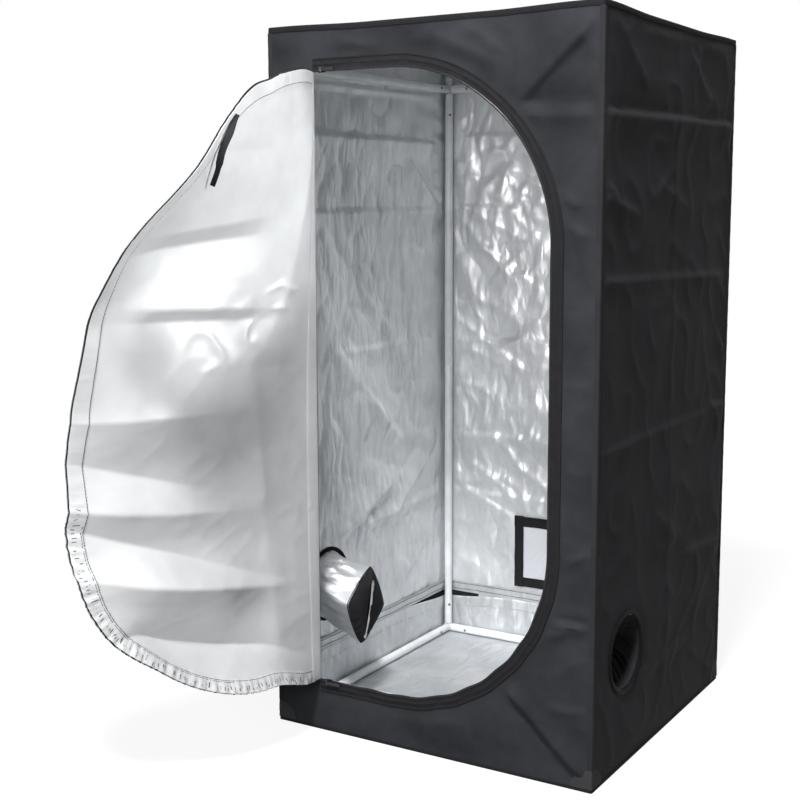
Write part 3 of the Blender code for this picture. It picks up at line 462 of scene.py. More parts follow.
def add_thickness(piece, thickness, rim):
    """Make a sheet thick inwards, its inside and its rim in the material at this place."""
    body = piece.modifiers.new("thickness", "SOLIDIFY")
    body.thickness = thickness
    body.offset = -1.0
    body.material_offset = 1
    body.material_offset_rim = rim


def cut_cloth(low, high, cell, inside=None, flip=False):
    """A flat cloth of small squares between two corners, cut along the line inside = 0."""
    columns = round((high[0] - low[0]) / cell)
    rows = round((high[1] - low[1]) / cell)
    grid_u, grid_v = np.meshgrid(np.linspace(low[0], high[0], columns + 1),
                                 np.linspace(low[1], high[1], rows + 1))
    u, v = grid_u.ravel(), grid_v.ravel()
    base = (np.arange(rows)[:, None] * (columns + 1) + np.arange(columns)[None, :]).ravel()
    faces = np.stack([base, base + 1, base + columns + 2, base + columns + 1], axis=1)
    if inside is not None:
        middle_u = u[faces].mean(axis=1)
        middle_v = v[faces].mean(axis=1)
        kept = inside(middle_u, middle_v) > 0.0
        on_edge = np.intersect1d(faces[kept].ravel(), faces[~kept].ravel())
        faces = faces[kept]
        for _ in range(3):
            gap = inside(u[on_edge], v[on_edge])
            slope_u = (inside(u[on_edge] + 1e-5, v[on_edge]) - gap) / 1e-5
            slope_v = (inside(u[on_edge], v[on_edge] + 1e-5) - gap) / 1e-5
            size = np.maximum(slope_u ** 2 + slope_v ** 2, 0.25)
            u[on_edge] -= gap * slope_u / size
            v[on_edge] -= gap * slope_v / size
        u[on_edge] = np.clip(u[on_edge], low[0], high[0])
        v[on_edge] = np.clip(v[on_edge], low[1], high[1])
        used = np.unique(faces)
        renumber = np.full(len(u), -1)
        renumber[used] = np.arange(len(used))
        faces = renumber[faces]
        u, v = u[used], v[used]
    if flip:
        faces = faces[:, ::-1]
    return u, v, faces


def stack(*parts):
    """Rows of numbers from columns."""
    return np.stack(parts, axis=1)


# The doorway's arcs, its straight runs at head and foot and at the side, and the hinge
ARC = 0.285
ARC_U, HEAD_ARC, FOOT_ARC = -0.063, 0.852, 0.379
END_RUN, SIDE_RUN = 0.150, 0.473
HINGE, HINGE_Y = 0.213, -0.30475

# Half the width of the front and back walls, which is also how far all walls lie from the
# middle, half that of the left and right ones, their foot and top, and their squares
WALL, NARROW = 0.3037, 0.3024
WALL_FOOT, WALL_TOP = 0.0018, 1.2119
WALL_CELL = 0.0048

# The middles of the duct ports, along the side walls and up
LEFT_PORT, RIGHT_PORT = (-0.150, 0.215), (-0.174, 0.195)


def door_edge(u, v, grow=0.0):
    """Distance outside the D-shaped doorway, which has a straight side at the hinge."""
    side = u - 0.222
    rise = np.abs(v - 0.6155) - 0.5215
    arc = np.hypot(np.maximum(u - ARC_U, 0.0), np.maximum(rise + ARC, 0.0)) - ARC
    bulge = np.where((u > ARC_U) & (rise > -ARC), arc, np.maximum(side, rise)) - grow
    return np.maximum(bulge, -HINGE - u)


def top_sag(u):
    """How far the top edge hangs down between two corner posts."""
    return 0.0034 * ramp(0.272 - np.abs(u), 0.0, 0.16)


def wall_edges(u, v, half):
    """Fade from 0 at a wall's seams to 1 in its middle."""
    return (ramp(half - np.abs(u), 0.003, 0.030) * ramp(v, 0.010, 0.040)
            * ramp(1.209 - v, 0.0, 0.030))


def wall_drop(u, v):
    """How far a wall hangs down with its top edge."""
    return top_sag(u) * ramp(v, 1.14, WALL_TOP)


def above_tray(out, v, tray_top=0.117):
    """Keep a wall outside the tray."""
    return np.where(v < tray_top, np.maximum(out, -0.0004), out)


def off_frame(u, v, deep):
    """How far a wall may come in between the posts and the top rail."""
    return (-0.0040 - deep * ramp(0.262 - np.abs(u), 0.0, 0.02)
            * ramp(np.abs(v - 1.153), 0.012, 0.03))


# The front wall, the most creased outside, because the open door pulls at it. The doorway is
# cut out of it, and the zip's tape covers the cut.
# The front wall's cloth is the same black oxford in a wider, bluer tint, which is painted sheen
# on its creases.
front_oxford_painted_sheen, nodes = retint(black_oxford, "front_oxford_painted_sheen", (0.0245, 0.0254, 0.0290),
                             (0.0440, 0.0458, 0.0520))
fill(nodes["packing_bump"], {"Strength": 0.80, "Distance": 0.0150})
u, v, faces = cut_cloth((-WALL, WALL_FOOT), (WALL, WALL_TOP), WALL_CELL,
                        lambda a, b: door_edge(a, b, 0.010))
near_door = ramp(door_edge(u, v), 0.020, 0.050)
out = 0.0026 * waves(u, v, 0.16, 3.1) + 0.0020 * crumples(u, v, 0.075, 8.4)
out = creased(out, u, v, (
    (3180, 12080, 1500, 10560, 108, 60, 280),
    (1500, 10720, 3200, 10680, -65, 160, 40),
    (1500, 10550, 3200, 10500, 57, 40, 180),
    (1530, 10680, 2120, 9620, 65, 120, 50),
    (2760, 11750, 2940, 11320, 51, 40, 120),
    (2250, 9000, 2920, 8660, 61, 50, 160),
    (2350, 9350, 2750, 9120, 57, 70, 100),
    (-340, 12120, 1600, 11200, 57, 100, 300),
    (600, 12120, 1500, 11400, 47, 80, 200),
    (-3060, 11780, -2360, 12220, 51, 60, 140),
    (-2000, 12050, -600, 11600, 35, 80, 240),
    (2280, 3560, 3120, 3950, 57, 60, 140),
    (2140, 2670, 3250, 2650, 69, 40, 120),
    (2260, 2760, 3250, 2740, -39, 40, 40),
    (2000, 2360, 2700, 2620, 47, 50, 140),
    (2140, 1280, 3250, 1310, 47, 50, 140),
    (1300, 1680, 3180, -40, 95, 220, 60, 2000),
    (1600, 1280, 2400, 500, -35, 100, 60),
    (2200, 6500, 3200, 6400, 30, 60, 180),
    (2200, 5200, 3200, 5050, 26, 60, 180),
    (-800, 520, 1200, 700, 30, 140, 200),
))
out = np.maximum(out, -0.0028) * wall_edges(u, v, WALL) * near_door
out = above_tray(out, v, 0.098)
points = stack(u, -WALL - out, v - wall_drop(u, v))
front_cloth = cloth_piece("front_cloth", points, faces, stack(u, v), front_oxford_painted_sheen, crumpled_film_painted_lighter)
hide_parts("front_wall")
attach(front_cloth, "tent")


def port_gap(u, v, middle):
    """Distance outside the round hole that a duct port is sewn into."""
    return np.hypot(u - middle[0], v - middle[1]) - 0.0615


# The right wall, with the packing creases across it and an uneven top edge, and with the hole
# for the right duct port.
u, v, faces = cut_cloth((-NARROW, WALL_FOOT), (NARROW, WALL_TOP), WALL_CELL,
                        lambda a, b: port_gap(a, b, RIGHT_PORT))
near_port = ramp(port_gap(u, v, RIGHT_PORT), 0.004, 0.040)
out = 0.0030 * waves(u, v, 0.17, 5.7) + 0.0024 * crumples(u, v, 0.085, 2.9)
out = creased(out, u, v, (
    (-3600, 10530, 3600, 10610, 58, 40, 260, 200),
    (-3600, 10620, 3600, 10700, -22, 100, 40, 200),
    (-3600, 8060, 3000, 7900, 42, 50, 240, 1000),
    (-3400, 9680, -2250, 9220, 48, 60, 160),
    (-3400, 9400, -1300, 8980, 42, 60, 200),
    (-1000, 9600, 1100, 9050, 32, 100, 300),
    (400, 11900, 2000, 10800, 42, 100, 300),
    (-2400, 11800, -1200, 10900, 32, 120, 200),
    (2400, 6900, 3250, 5800, 54, 70, 180),
    (2150, 7200, 3200, 6600, -35, 80, 100),
    (1700, 5600, 3200, 5400, 38, 60, 200),
    (-3600, 5400, 3600, 5460, 29, 50, 220, 500),
    (600, 3040, 3400, 2810, 45, 60, 220),
    (-1600, 1380, 1850, 1410, 38, 50, 180),
    (-800, 4200, 600, 3300, 32, 100, 260),
    (1200, 1200, 2800, 200, 32, 100, 240),
    (100, -1000, 0, 13000, 16, 80, 200, 200),
))
out = np.maximum(out, -0.0028) * wall_edges(u, v, NARROW) * near_port
out = above_tray(out, v)
drop = wall_drop(u, v) + 0.0020 * waves(u, v * 0.0, 0.09, 4.4) * (
    ramp(v, 1.17, WALL_TOP) * ramp(0.268 - np.abs(u), 0.0, 0.05))
right_cloth = cloth_piece("right_cloth", stack(WALL + out, u, v - drop), faces, stack(u, v),
                          black_oxford, crumpled_film_painted_lighter)
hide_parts("right_wall")
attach(right_cloth, "tent")

# The left wall: its silver side shows through the doorway, puckered where it is pulled over
# the top rail, with the hole for the left duct port.
u, v, faces = cut_cloth((-NARROW, WALL_FOOT), (NARROW, WALL_TOP), WALL_CELL,
                        lambda a, b: port_gap(a, b, LEFT_PORT), flip=True)
near_port = ramp(port_gap(u, v, LEFT_PORT), 0.004, 0.040)
out = 0.0022 * waves(u, v, 0.15, 9.3) + 0.0030 * crumples(u, v, 0.080, 6.1)
out += 0.0020 * crumples(u * 3.0, v * 0.8, 0.060, 1.7) * ramp(0.62 - v, 0.0, 0.2)
out = creased(out, u, v, (
    (-3400, 11460, 3400, 11540, 58, 40, 70, 300),
    (-3400, 11310, 3400, 11360, 44, 50, 40, 300),
    (-2600, 10470, 3000, 10420, 61, 40, 300, 1000),
    (-2600, 9050, 3000, 9080, 51, 50, 300, 1000),
    (1310, 10220, 2600, 9150, 68, 40, 300),
    (-400, 5900, 1450, 4320, 51, 60, 220),
    (1100, 3720, -1500, 2800, 75, 50, 260),
    (3300, 3120, -1400, 2900, 44, 50, 200),
    (2500, 4200, 300, 2500, 44, 70, 200),
    (2700, 2600, 1200, 1500, 51, 60, 160),
    (2300, 2300, 2000, 1300, 41, 60, 100),
    (-500, 7800, 1100, 6500, 37, 100, 260),
    (1000, 8200, 2400, 7600, 37, 80, 220),
    (-3200, 6400, 3200, 6500, 27, 50, 240, 500),
), sign=-1)
for step in range(7):
    high = 0.905 + 0.035 * step
    out -= crease(u, v, (0.236, high + 0.020), (0.296, high - 0.012), 0.0058, 0.005, 0.009)
for step in range(12):
    place = -0.250 + 0.045 * step
    out -= crease(u, v, (place, 1.200), (place + 0.012, 1.158), 0.0037, 0.004, 0.006)
out = np.maximum(out, off_frame(u, v, 0.0040)) * wall_edges(u, v, NARROW) * near_port
out = above_tray(out, v)
left_cloth = cloth_piece("left_cloth", stack(-WALL - out, u, v - wall_drop(u, v)), faces,
                         stack(u, v), black_oxford, crumpled_film_painted_lighter)
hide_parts("left_wall")
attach(left_cloth, "tent")


def window_gap(u, v):
    """Distance outside the vent window that is cut low in the back wall."""
    return np.maximum(np.abs(u) - 0.122, np.abs(v - 0.199) - 0.062)


# The back wall, the most crumpled, because it faces the lamp through the doorway. The vent
# window is cut low in it.
u, v, faces = cut_cloth((-WALL, WALL_FOOT), (WALL, WALL_TOP), WALL_CELL, window_gap, flip=True)
near_vent = ramp(window_gap(u, v), 0.014, 0.040)
out = 0.0024 * waves(u, v, 0.14, 12.2) - 0.0030 * crumples(u + 0.4 * v, v, 0.080, 7.7)
out -= 0.0022 * crumples(u * 1.6 - v, v * 0.8 + u, 0.070, 3.3)
packed = ramp(v, 0.86, 0.94) * ramp(1.10 - v, 0.0, 0.06) * ramp(0.05 - u, 0.0, 0.12)
out -= 0.0050 * packed * crumples(u, v, 0.045, 15.5)
out = creased(out, u, v, (
    (-3400, 9190, 1000, 9000, 36, 40, 240, 500),
    (-3400, 4370, 3000, 4430, 34, 50, 260, 500),
    (-3400, 3150, 2000, 3090, 28, 50, 220, 500),
    (-2900, 3450, -1300, 2620, 32, 40, 120),
    (-2700, 4000, -1100, 3000, 30, 50, 140),
    (-3000, 7000, -800, 5600, 34, 60, 200),
    (-2800, 5600, -600, 6900, 30, 60, 180),
    (-2500, 8600, -700, 7400, 34, 60, 200),
    (-3400, 10600, 3400, 10500, 30, 40, 200, 500),
    (-2200, 11500, -200, 10700, 30, 60, 180),
    (-3200, 6400, 3200, 6400, 20, 50, 240, 500),
    (600, 8200, 2500, 7000, 30, 60, 200),
), sign=-1)
out = np.maximum(out, off_frame(u, v, 0.0050)) * wall_edges(u, v, WALL) * near_vent
out = np.maximum(out, 0.0003 - 0.020 * ramp(np.abs(v - 1.1693), 0.012, 0.032))  # hanging bars
out = above_tray(out, v)
back_cloth = cloth_piece("back_cloth", stack(u, WALL + out, v - wall_drop(u, v)), faces,
                         stack(u, v), black_oxford, crumpled_film_painted_lighter)
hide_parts("back_wall")
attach(back_cloth, "tent")

# The roof and the floor of the cover: the same cloth. The roof lies on the four top corners
# and sags between them; the floor lies flat under the frame.
ROOF = 0.3036
u, v, faces = cut_cloth((-ROOF, -ROOF), (ROOF, ROOF), 0.0060)
edge = ramp(ROOF - np.maximum(np.abs(u), np.abs(v)), 0.0, 0.07)
sag = np.maximum(top_sag(u) * ramp(np.abs(v), 0.12, 0.30),
                 top_sag(v) * ramp(np.abs(u), 0.12, 0.30))
sag = sag + 0.012 * ramp(0.30 - np.hypot(u, v), 0.0, 0.30)
rise = creased(0.0020 * waves(u, v, 0.15, 2.2) + 0.0022 * crumples(u, v, 0.09, 5.5), u, v, (
    (-2800, 40, 2800, -30, 26, 60, 220, 1000),
    (40, -2800, -20, 2800, 26, 60, 220, 1000),
    (-2700, -2700, -800, -1000, 30, 120, 120),
    (2700, -2700, 800, -1000, 30, 120, 120),
    (2700, 2700, 800, 1000, 30, 120, 120),
    (-2700, 2700, -800, 1000, 30, 120, 120)))
points = stack(u, v, 1.2137 - sag + np.minimum(rise * edge, 0.004))
roof_cloth = cloth_piece("roof_cloth", points, faces, stack(u, v), black_oxford, crumpled_film_painted_lighter)
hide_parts("roof_panel")
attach(roof_cloth, "tent")

u, v, faces = cut_cloth((-ROOF, -ROOF), (ROOF, ROOF), 0.0120, flip=True)
lift = ramp(0.29 - np.maximum(np.abs(u), np.abs(v)), 0.0, 0.03)
lift = 0.0003 * crumples(u, v, 0.08, 3.9) * lift
floor_cloth = cloth_piece("floor_cloth", stack(u, v, lift), faces, stack(u, v),
                          black_oxford, silver_film)
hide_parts("floor_panel")
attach(floor_cloth, "tent")

# The edge bindings: folded black tape sewn over every seam of the cover, up the four corners,
# round the roof and round the foot.
black_binding, tree, shader = start_material("black_binding")
cloth_uv = add_node(tree, "UVMap", {}, uv_map="cloth").outputs["UV"]
ribs = add_node(tree, "TexWave", {"Scale": 300.0, "Distortion": 1.2, "Detail": 1.0,
                                  "Vector": cloth_uv}, bands_direction="X").outputs["Fac"]
fluff = add_noise(tree, cloth_uv, 60.0, 6.0)
fill(shader, {"IOR": 1.08, "Roughness": add_range(tree, fluff, 0.55, 0.75),
              "Base Color": add_tint(tree, fluff, (0.0165, 0.0165, 0.0180),
                                     (0.0270, 0.0270, 0.0295)),
              "Normal": add_bump(tree, ribs, 0.45, 0.00025)})
OUTSIDE = 0.305  # half the width over the bindings


def round_corner(s, side_x, side_y, out):
    """Place a distance s from the corner line on the two walls that meet there."""
    turn = 0.0025
    bend = turn * math.pi / 4
    angle = np.clip(s / turn, -math.pi / 4, math.pi / 4) + math.pi / 4
    past = np.maximum(np.abs(s) - bend, 0.0)
    core = OUTSIDE - turn
    x = core + (turn + out) * np.cos(angle) - np.where(s > 0.0, past, 0.0)
    y = core + (turn + out) * np.sin(angle) - np.where(s < 0.0, past, 0.0)
    return side_x * x, side_y * y


for corner, side_x, side_y in CORNERS:
    low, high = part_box("binding_" + corner)
    half = 0.00845
    u, v, faces = cut_cloth((-half, low[2]), (half, high[2]), half / 5,
                            flip=side_x * side_y < 0)
    edge = np.abs(u) / half
    wobble = 0.0007 * waves(u * 0.0 + side_x, v, 0.045, 3.0 + side_y) * edge
    out = 0.0004 * crumples(u, v, 0.030, 4.0 + side_x) * (1.0 - edge) - 0.0002 * edge
    x, y = round_corner(u + wobble * np.sign(u), side_x, side_y, out)
    binding = cloth_piece("tape_binding_" + corner, stack(x, y, v), faces, stack(v, u),
                          black_oxford, black_binding, 0.0008)
    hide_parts("binding_" + corner)
    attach(binding, "tent")


def round_square(t, half, turn):
    """A point and its outward direction at a distance t round a square with rounded corners."""
    straight = 2.0 * (half - turn)
    arc = turn * math.pi / 2
    side = np.floor(t / (straight + arc)).astype(int) % 4
    rest = np.mod(t, straight + arc)
    angle = np.clip((rest - straight) / turn, 0.0, math.pi / 2)
    a = np.minimum(rest, straight) - half + turn + turn * np.sin(angle)
    b = -half + turn - turn * np.cos(angle)
    go = angle - math.pi / 2
    x, y, nx, ny = a, b, np.cos(go), np.sin(go)
    for quarter in range(3):
        turned = side > quarter
        x, y = np.where(turned, -y, x), np.where(turned, x, y)
        nx, ny = np.where(turned, -ny, nx), np.where(turned, nx, ny)
    return x, y, nx, ny


def strip_faces(rows, columns, closed=True):
    """Faces between rows of points, closed on themselves or open."""
    faces = []
    for row in range(rows - 1):
        for k in range(columns if closed else columns - 1):
            j = (k + 1) % columns
            faces.append((row * columns + k, row * columns + j,
                          (row + 1) * columns + j, (row + 1) * columns + k))
    return faces


def square_band(name, half, turn, profile, step, shape, outer, inner, thickness=0.0008):
    """A strip round the tent; profile gives (inset, height) of each row from low to high."""
    length = 8.0 * (half - turn) + 2.0 * math.pi * turn
    columns = round(length / step)
    rows = len(profile)
    t = np.tile(np.arange(columns) * length / columns, rows)
    inset, height = np.repeat(np.array(profile), columns, axis=0).T
    x, y, nx, ny = round_square(t, half, turn)
    if shape is not None:
        inset, height = shape(x, y, inset, height)
    x = np.where(inset > 0.0, np.clip(x, -half + inset, half - inset), x - nx * inset)
    y = np.where(inset > 0.0, np.clip(y, -half + inset, half - inset), y - ny * inset)
    across = travelled(profile)
    uvs = stack(t, np.repeat(across, columns))
    return cloth_piece(name, stack(x, y, height), strip_faces(rows, columns), uvs, outer, inner,
                       thickness), length, across[-1]


def travelled(places):
    """How far along a line of places each one lies."""
    steps = [math.dist(one, two) for one, two in zip(places, places[1:])]
    return np.concatenate([[0.0], np.cumsum(steps)])


def follow_sag(x, y, inset, height):
    """Let the roof's binding hang with the edge between the corners."""
    sag = top_sag(x) * ramp(np.abs(y), 0.2, 0.29) + top_sag(y) * ramp(np.abs(x), 0.2, 0.29)
    swell = 0.0005 * crumples(x, y, 0.035, 6.6)
    return inset - swell * (inset < 0.001), height - sag


roof_binding, length, width = square_band(
    "tape_roof_binding", OUTSIDE, 0.003,
    [(0.0002, 1.2058), (0.0, 1.2072), (0.0, 1.2100), (0.0, 1.2130), (0.0007, 1.2144),
     (0.0020, 1.2150), (0.0050, 1.2150), (0.0080, 1.2150), (0.0092, 1.2147)],
    0.006, follow_sag, black_binding, black_binding)
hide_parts("roof_binding")
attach(roof_binding, "tent")

foot_binding, *_ = square_band(
    "tape_floor_hem", OUTSIDE, 0.003,
    [(0.0004, 0.0004), (0.0, 0.0012), (0.0, 0.0030), (0.0, 0.0050), (0.0002, 0.0060)],
    0.006, None, black_binding, black_binding)
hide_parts("floor_hem")
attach(foot_binding, "tent")

# The reinforcing patches at the four lower corners: rounded pieces of the cover's cloth,
# folded round the corner and sewn on, which stand a little paler than the wall.
patch_oxford, _ = retint(black_oxford, "patch_oxford", (0.044, 0.044, 0.047),
                         (0.066, 0.066, 0.070))


def patch_edge(u, v):
    """Distance inside a patch's rounded outline."""
    return 0.030 * (1.0 - np.hypot(np.abs(u) / 0.0372, (v - 0.0064) / 0.0314))


for corner, side_x, side_y in CORNERS:
    u, v, faces = cut_cloth((-0.0372, 0.0064), (0.0372, 0.0380), 0.0031, patch_edge,
                            flip=side_x * side_y < 0)
    rim = ramp(patch_edge(u, v), 0.0, 0.01)
    out = 0.0006 * crumples(u, v, 0.020, 4.0 + side_x) * rim
    out += 0.0008 * np.exp(-((u - 0.3 * v) / 0.004) ** 2) * rim
    x, y = round_corner(u, side_x, side_y, out)
    patch = cloth_piece("cloth_corner_patch_" + corner, stack(x, y, v), faces, stack(u, v),
                        patch_oxford, patch_oxford, 0.0009)
    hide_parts("corner_patch_" + corner)
    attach(patch, "tent")


# The waterproof tray: silver film outside and in, folded up 90 mm at the sides with a hem
# round its top, which has slipped from the wall at the rear left corner.
def tray_slip(x, y):
    """How far the tray's hem has slipped down near the rear left corner."""
    return 0.0125 * ramp(y, 0.130, 0.300) * ramp(-x, 0.150, 0.290)


def tray_shape(x, y, inset, height):
    """Wrinkle the tray's sides and let its hem slip."""
    corner = ramp(0.30 - np.minimum(np.abs(x), np.abs(y)), 0.0, 0.05)
    up = ramp(height, 0.020, 0.092)
    middle = ramp(height, 0.01, 0.03) * ramp(0.090 - height, 0.0, 0.02)
    folds = 0.0024 * middle * corner * crumples(x + 3.0 * y, height * 1.6, 0.040, 5.2)
    folds += 0.0018 * up * corner * (0.5 + 0.5 * waves(x + y, height, 0.07, 8.8))
    return inset + folds, height - tray_slip(x, y) * up


# The tray's, the skirt's and the left sleeve's film: the same silver film in a darker tint, which
# is painted shade.
tray_film_painted_shade, nodes = retint(crumpled_film_painted_lighter, "tray_film_painted_shade", (0.56, 0.575, 0.590),
                          (0.72, 0.735, 0.750))
fill(nodes["Principled BSDF"], {"Metallic": 0.72})
fill(nodes["gloss"], {"To Min": 0.42, "To Max": 0.58})

tray_walls, *_ = square_band(
    "tray_walls", 0.3017, 0.006,
    [(0.0, 0.0020 + 0.0059 * k) for k in range(12)]
    + [(0.0, 0.0706), (0.0012, 0.0712), (0.0013, 0.0760), (0.0012, 0.0820), (0.0012, 0.0880),
       (0.0008, 0.0914), (0.0002, 0.0917)],
    0.006, tray_shape, tray_film_painted_shade, tray_film_painted_shade, 0.0011)
u, v, faces = cut_cloth((-0.3010, -0.3010), (0.3010, 0.3010), 0.0060)
inner = ramp(0.270 - np.maximum(np.abs(u), np.abs(v)), 0.0, 0.02)
rise = creased(0.0016 * crumples(u, v, 0.080, 9.1) + 0.0010 * crumples(u, v, 0.030, 4.4), u, v, (
    (-3050, -50, -500, 340, 38, 40, 140, 1500),
    (-2800, 1000, 2800, 1050, 18, 60, 140, 1000),
    (-200, -2800, 0, 2800, 16, 60, 140, 1000)))
tray_floor = cloth_piece("tray_floor", stack(u, v, 0.0031 + rise * inner), faces, stack(u, v),
                         tray_film_painted_shade, tray_film_painted_shade, 0.0011)
join_pieces(tray_walls, [tray_floor])
tray_walls.name = "silver_tray"
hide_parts("floor_tray")
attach(tray_walls, "tent")

# Behind the slipped hem, round the rear left corner, a thin black sheet on the walls is painted
# shade: it stands for the dark gap between the tray and the wall, seen as a wedge.
u, v, faces = cut_cloth((0.0, 0.072), (0.230, 0.0915), 0.0065)
on_left = u < 0.150
points = stack(np.where(on_left, -0.30185 + 0.0001, -0.3018 + (u - 0.150)),
               np.where(on_left, 0.150 + u, 0.30185), v)
shade_wedge = cloth_piece("painted_shade_wedge", points, faces, stack(u, v), black_binding, black_binding,
                      0.0003)
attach(shade_wedge, "tent")

# A band of film above the tray's hem closes its seam with the walls, under two rows of black
# thread that run round the left, back and right walls.
STITCH, STITCH_PITCH = 0.0042, 0.0052
# Black thread, also used for the short marks of painted shade in the door's gathers.
black_thread_and_crease_shade, tree, shader = start_material("black_thread_and_crease_shade")
place = add_node(tree, "TexCoord", {}).outputs["Object"]
twist = add_node(tree, "TexWave", {"Scale": 700.0, "Vector": place}).outputs["Fac"]
fill(shader, {"Roughness": 0.7, "Base Color": add_tint(tree, twist, (0.012, 0.012, 0.013),
                                                       (0.045, 0.045, 0.048))})


def solid_piece(name, points, faces, material):
    """A piece from places and faces, with its faces turned outwards."""
    mesh = bpy.data.meshes.new(name)
    mesh.from_pydata([tuple(p) for p in points], [], [tuple(f) for f in faces])
    work = bmesh.new()
    work.from_mesh(mesh)
    bmesh.ops.recalc_face_normals(work, faces=work.faces)
    work.to_mesh(mesh)
    work.free()
    piece = bpy.data.objects.new(name, mesh)
    bpy.context.scene.collection.objects.link(piece)
    mesh.materials.append(material)
    return piece


def bars_piece(name, begins, ends, sides, lifts, material):
    """Small bars between pairs of places, with half their width and their thickness."""
    corners = [spot + side + lift for spot in (begins, ends) for side in (-sides, sides)
               for lift in (0.0 * lifts, lifts)]
    quads = np.array([(0, 1, 3, 2), (4, 6, 7, 5), (0, 4, 5, 1), (2, 3, 7, 6), (0, 2, 6, 4),
                      (1, 5, 7, 3)])
    faces = (np.arange(len(begins))[:, None, None] * 8 + quads).reshape(-1, 4)
    return solid_piece(name, stack(*corners).reshape(-1, 3), faces, material)


def round_walls(a, z, half):
    """Places round the left, back and right walls, at a distance from the front left corner."""
    past = a - 0.590
    x = np.clip(past - half, -half, half)
    y = np.where(past < half, np.minimum(past + half, half),
                 np.minimum(half, half - (past - 2.0 * half)))
    return stack(x, y, z)


u, v, faces = cut_cloth((0.0, 0.0935), (1.780, 0.1140), 0.0034, flip=True)
points = round_walls(u, v + 0.0006 * waves(u, v, 0.05, 3.3), 0.3006)
skirt = cloth_piece("wall_skirt", points, faces, stack(u, v), tray_film_painted_shade, tray_film_painted_shade, 0.0006)
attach(skirt, "tent")
a = np.tile(np.arange(0.004, 1.776, STITCH_PITCH), 2)
z = np.repeat((0.0985, 0.1105), len(a) // 2) + 0.0008 * waves(a, a * 0.0, 0.05, 6.0)
begins = round_walls(a, z, 0.2999)
wall_stitches = bars_piece("wall_stitches", begins, round_walls(a + STITCH, z, 0.2999),
                           np.tile((0.0, 0.0, 0.00045), (len(a), 1)),
                           round_walls(a, z, 0.2992) - begins, black_thread_and_crease_shade)
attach(wall_stitches, "tent")

# The zip round the doorway: a black tape sewn over the cut edge of the front wall, with the
# coil of teeth along its inner edge and a raised edge outside.
teeth_nylon = speckled("teeth_nylon", 900.0, 2.0, (0.007, 0.007, 0.008),
                       (0.018, 0.018, 0.020), {"Roughness": 0.34})[0]


def doorway_line(step):
    """Points round the doorway from the hinge's head to its foot, with outward directions."""
    runs = np.array([END_RUN, ARC * math.pi / 2, SIDE_RUN, ARC * math.pi / 2, END_RUN])
    starts = np.cumsum(runs) - runs
    t = np.linspace(0.0, runs.sum(), round(runs.sum() / step) + 1)
    part = [t - start for start in starts]
    on = np.searchsorted(starts[1:], t)
    angle = np.choose(on, [np.full(len(t), math.pi / 2), math.pi / 2 - part[1] / ARC, 0.0 * t,
                           -part[3] / ARC, np.full(len(t), -math.pi / 2)])
    outs = stack(np.cos(angle), np.sin(angle))
    u = ARC_U + ARC * outs[:, 0] + np.select([on == 0, on == 4], [t - END_RUN, -part[4]], 0.0)
    v = np.where(on < 2, HEAD_ARC, FOOT_ARC) + ARC * outs[:, 1]
    return stack(u, np.where(on == 2, HEAD_ARC - part[2], v)), outs


def strip_piece(name, rows, run, wide, material):
    """A closed strip through rows of places, with its ends filled and its cloth measured."""
    count, around = rows.shape[:2]
    ends = [tuple(range(around)), tuple((count - 1) * around + k for k in range(around))]
    piece = solid_piece(name, rows.reshape(-1, 3), ends + strip_faces(count, around), material)
    layer = piece.data.uv_layers.new(name="cloth")
    for loop in piece.data.loops:
        row, k = divmod(loop.vertex_index, around)
        layer.data[loop.index].uv = (run[row], wide[k])
    return piece


def finish_strip(piece, angle=35.0):
    """Make a strip's modifiers final and smooth it."""
    apply_modifiers(piece)
    bpy.ops.object.shade_smooth_by_angle(angle=math.radians(angle))


def teeth_row(name, places, along, across, lift):
    """A coil's teeth: one small bent bar at each place."""
    points, faces = [], []
    outline = [(-0.5, 0.0), (0.5, 0.0), (0.5, 0.6), (0.25, 1.0), (-0.25, 1.0), (-0.5, 0.6)]
    wide, high, long = 0.0030, 0.0012, 0.0014
    for p, t, c, d in zip(places, along, across, lift):
        first = len(points)
        points += [p + c * (a * wide) + d * (b * high) + t * (end * long)
                   for end in (-0.5, 0.5) for a, b in outline]
        faces.append([first + k for k in range(5, -1, -1)])
        faces.append([first + 6 + k for k in range(6)])
        for k in range(6):
            j = (k + 1) % 6
            faces.append([first + k, first + j, first + 6 + j, first + 6 + k])
    return solid_piece(name, points, faces, teeth_nylon)


def between(values, spots):
    """Values at fractional places between the points of a line."""
    low_spot = spots.astype(int)
    share = (spots - low_spot)[:, None]
    return values[low_spot] * (1 - share) + values[low_spot + 1] * share


def unit(rows):
    """Directions of length 1."""
    return rows / np.linalg.norm(rows, axis=1)[:, None]


LINE_STEP, TOOTH_PITCH = 0.004, 0.0024
line, outs = doorway_line(LINE_STEP)
travel = np.arange(len(line)) * LINE_STEP
pucker = (0.0009 * np.sin(travel / 0.0105) * ramp(travel, 1.05, 1.25)
          * ramp(1.62 - travel, 0.0, 0.1))
pucker += 0.0004 * waves(travel, travel * 0.0, 0.06, 5.0)
ends = ramp(travel, 0.0, 0.03) * ramp(travel[-1] - travel, 0.0, 0.03)
none = np.zeros(len(line))
places = stack(line[:, 0] + outs[:, 0] * pucker * ends, none - 0.3040,
               line[:, 1] + outs[:, 1] * pucker * ends)
across = stack(outs[:, 0], none, outs[:, 1])
lift = stack(none, -1.0 - 0.25 * waves(travel, travel * 0.0, 0.05, 9.0) * ends, none)
section = [(0.0, 0.0), (0.0, 0.0012), (0.0034, 0.0012), (0.0040, 0.0010), (0.0108, 0.0010),
           (0.0114, 0.0014), (0.0128, 0.0014), (0.0134, 0.0010), (0.0190, 0.0010),
           (0.0197, 0.0017), (0.0215, 0.0017), (0.0220, 0.0012), (0.0220, 0.0)]
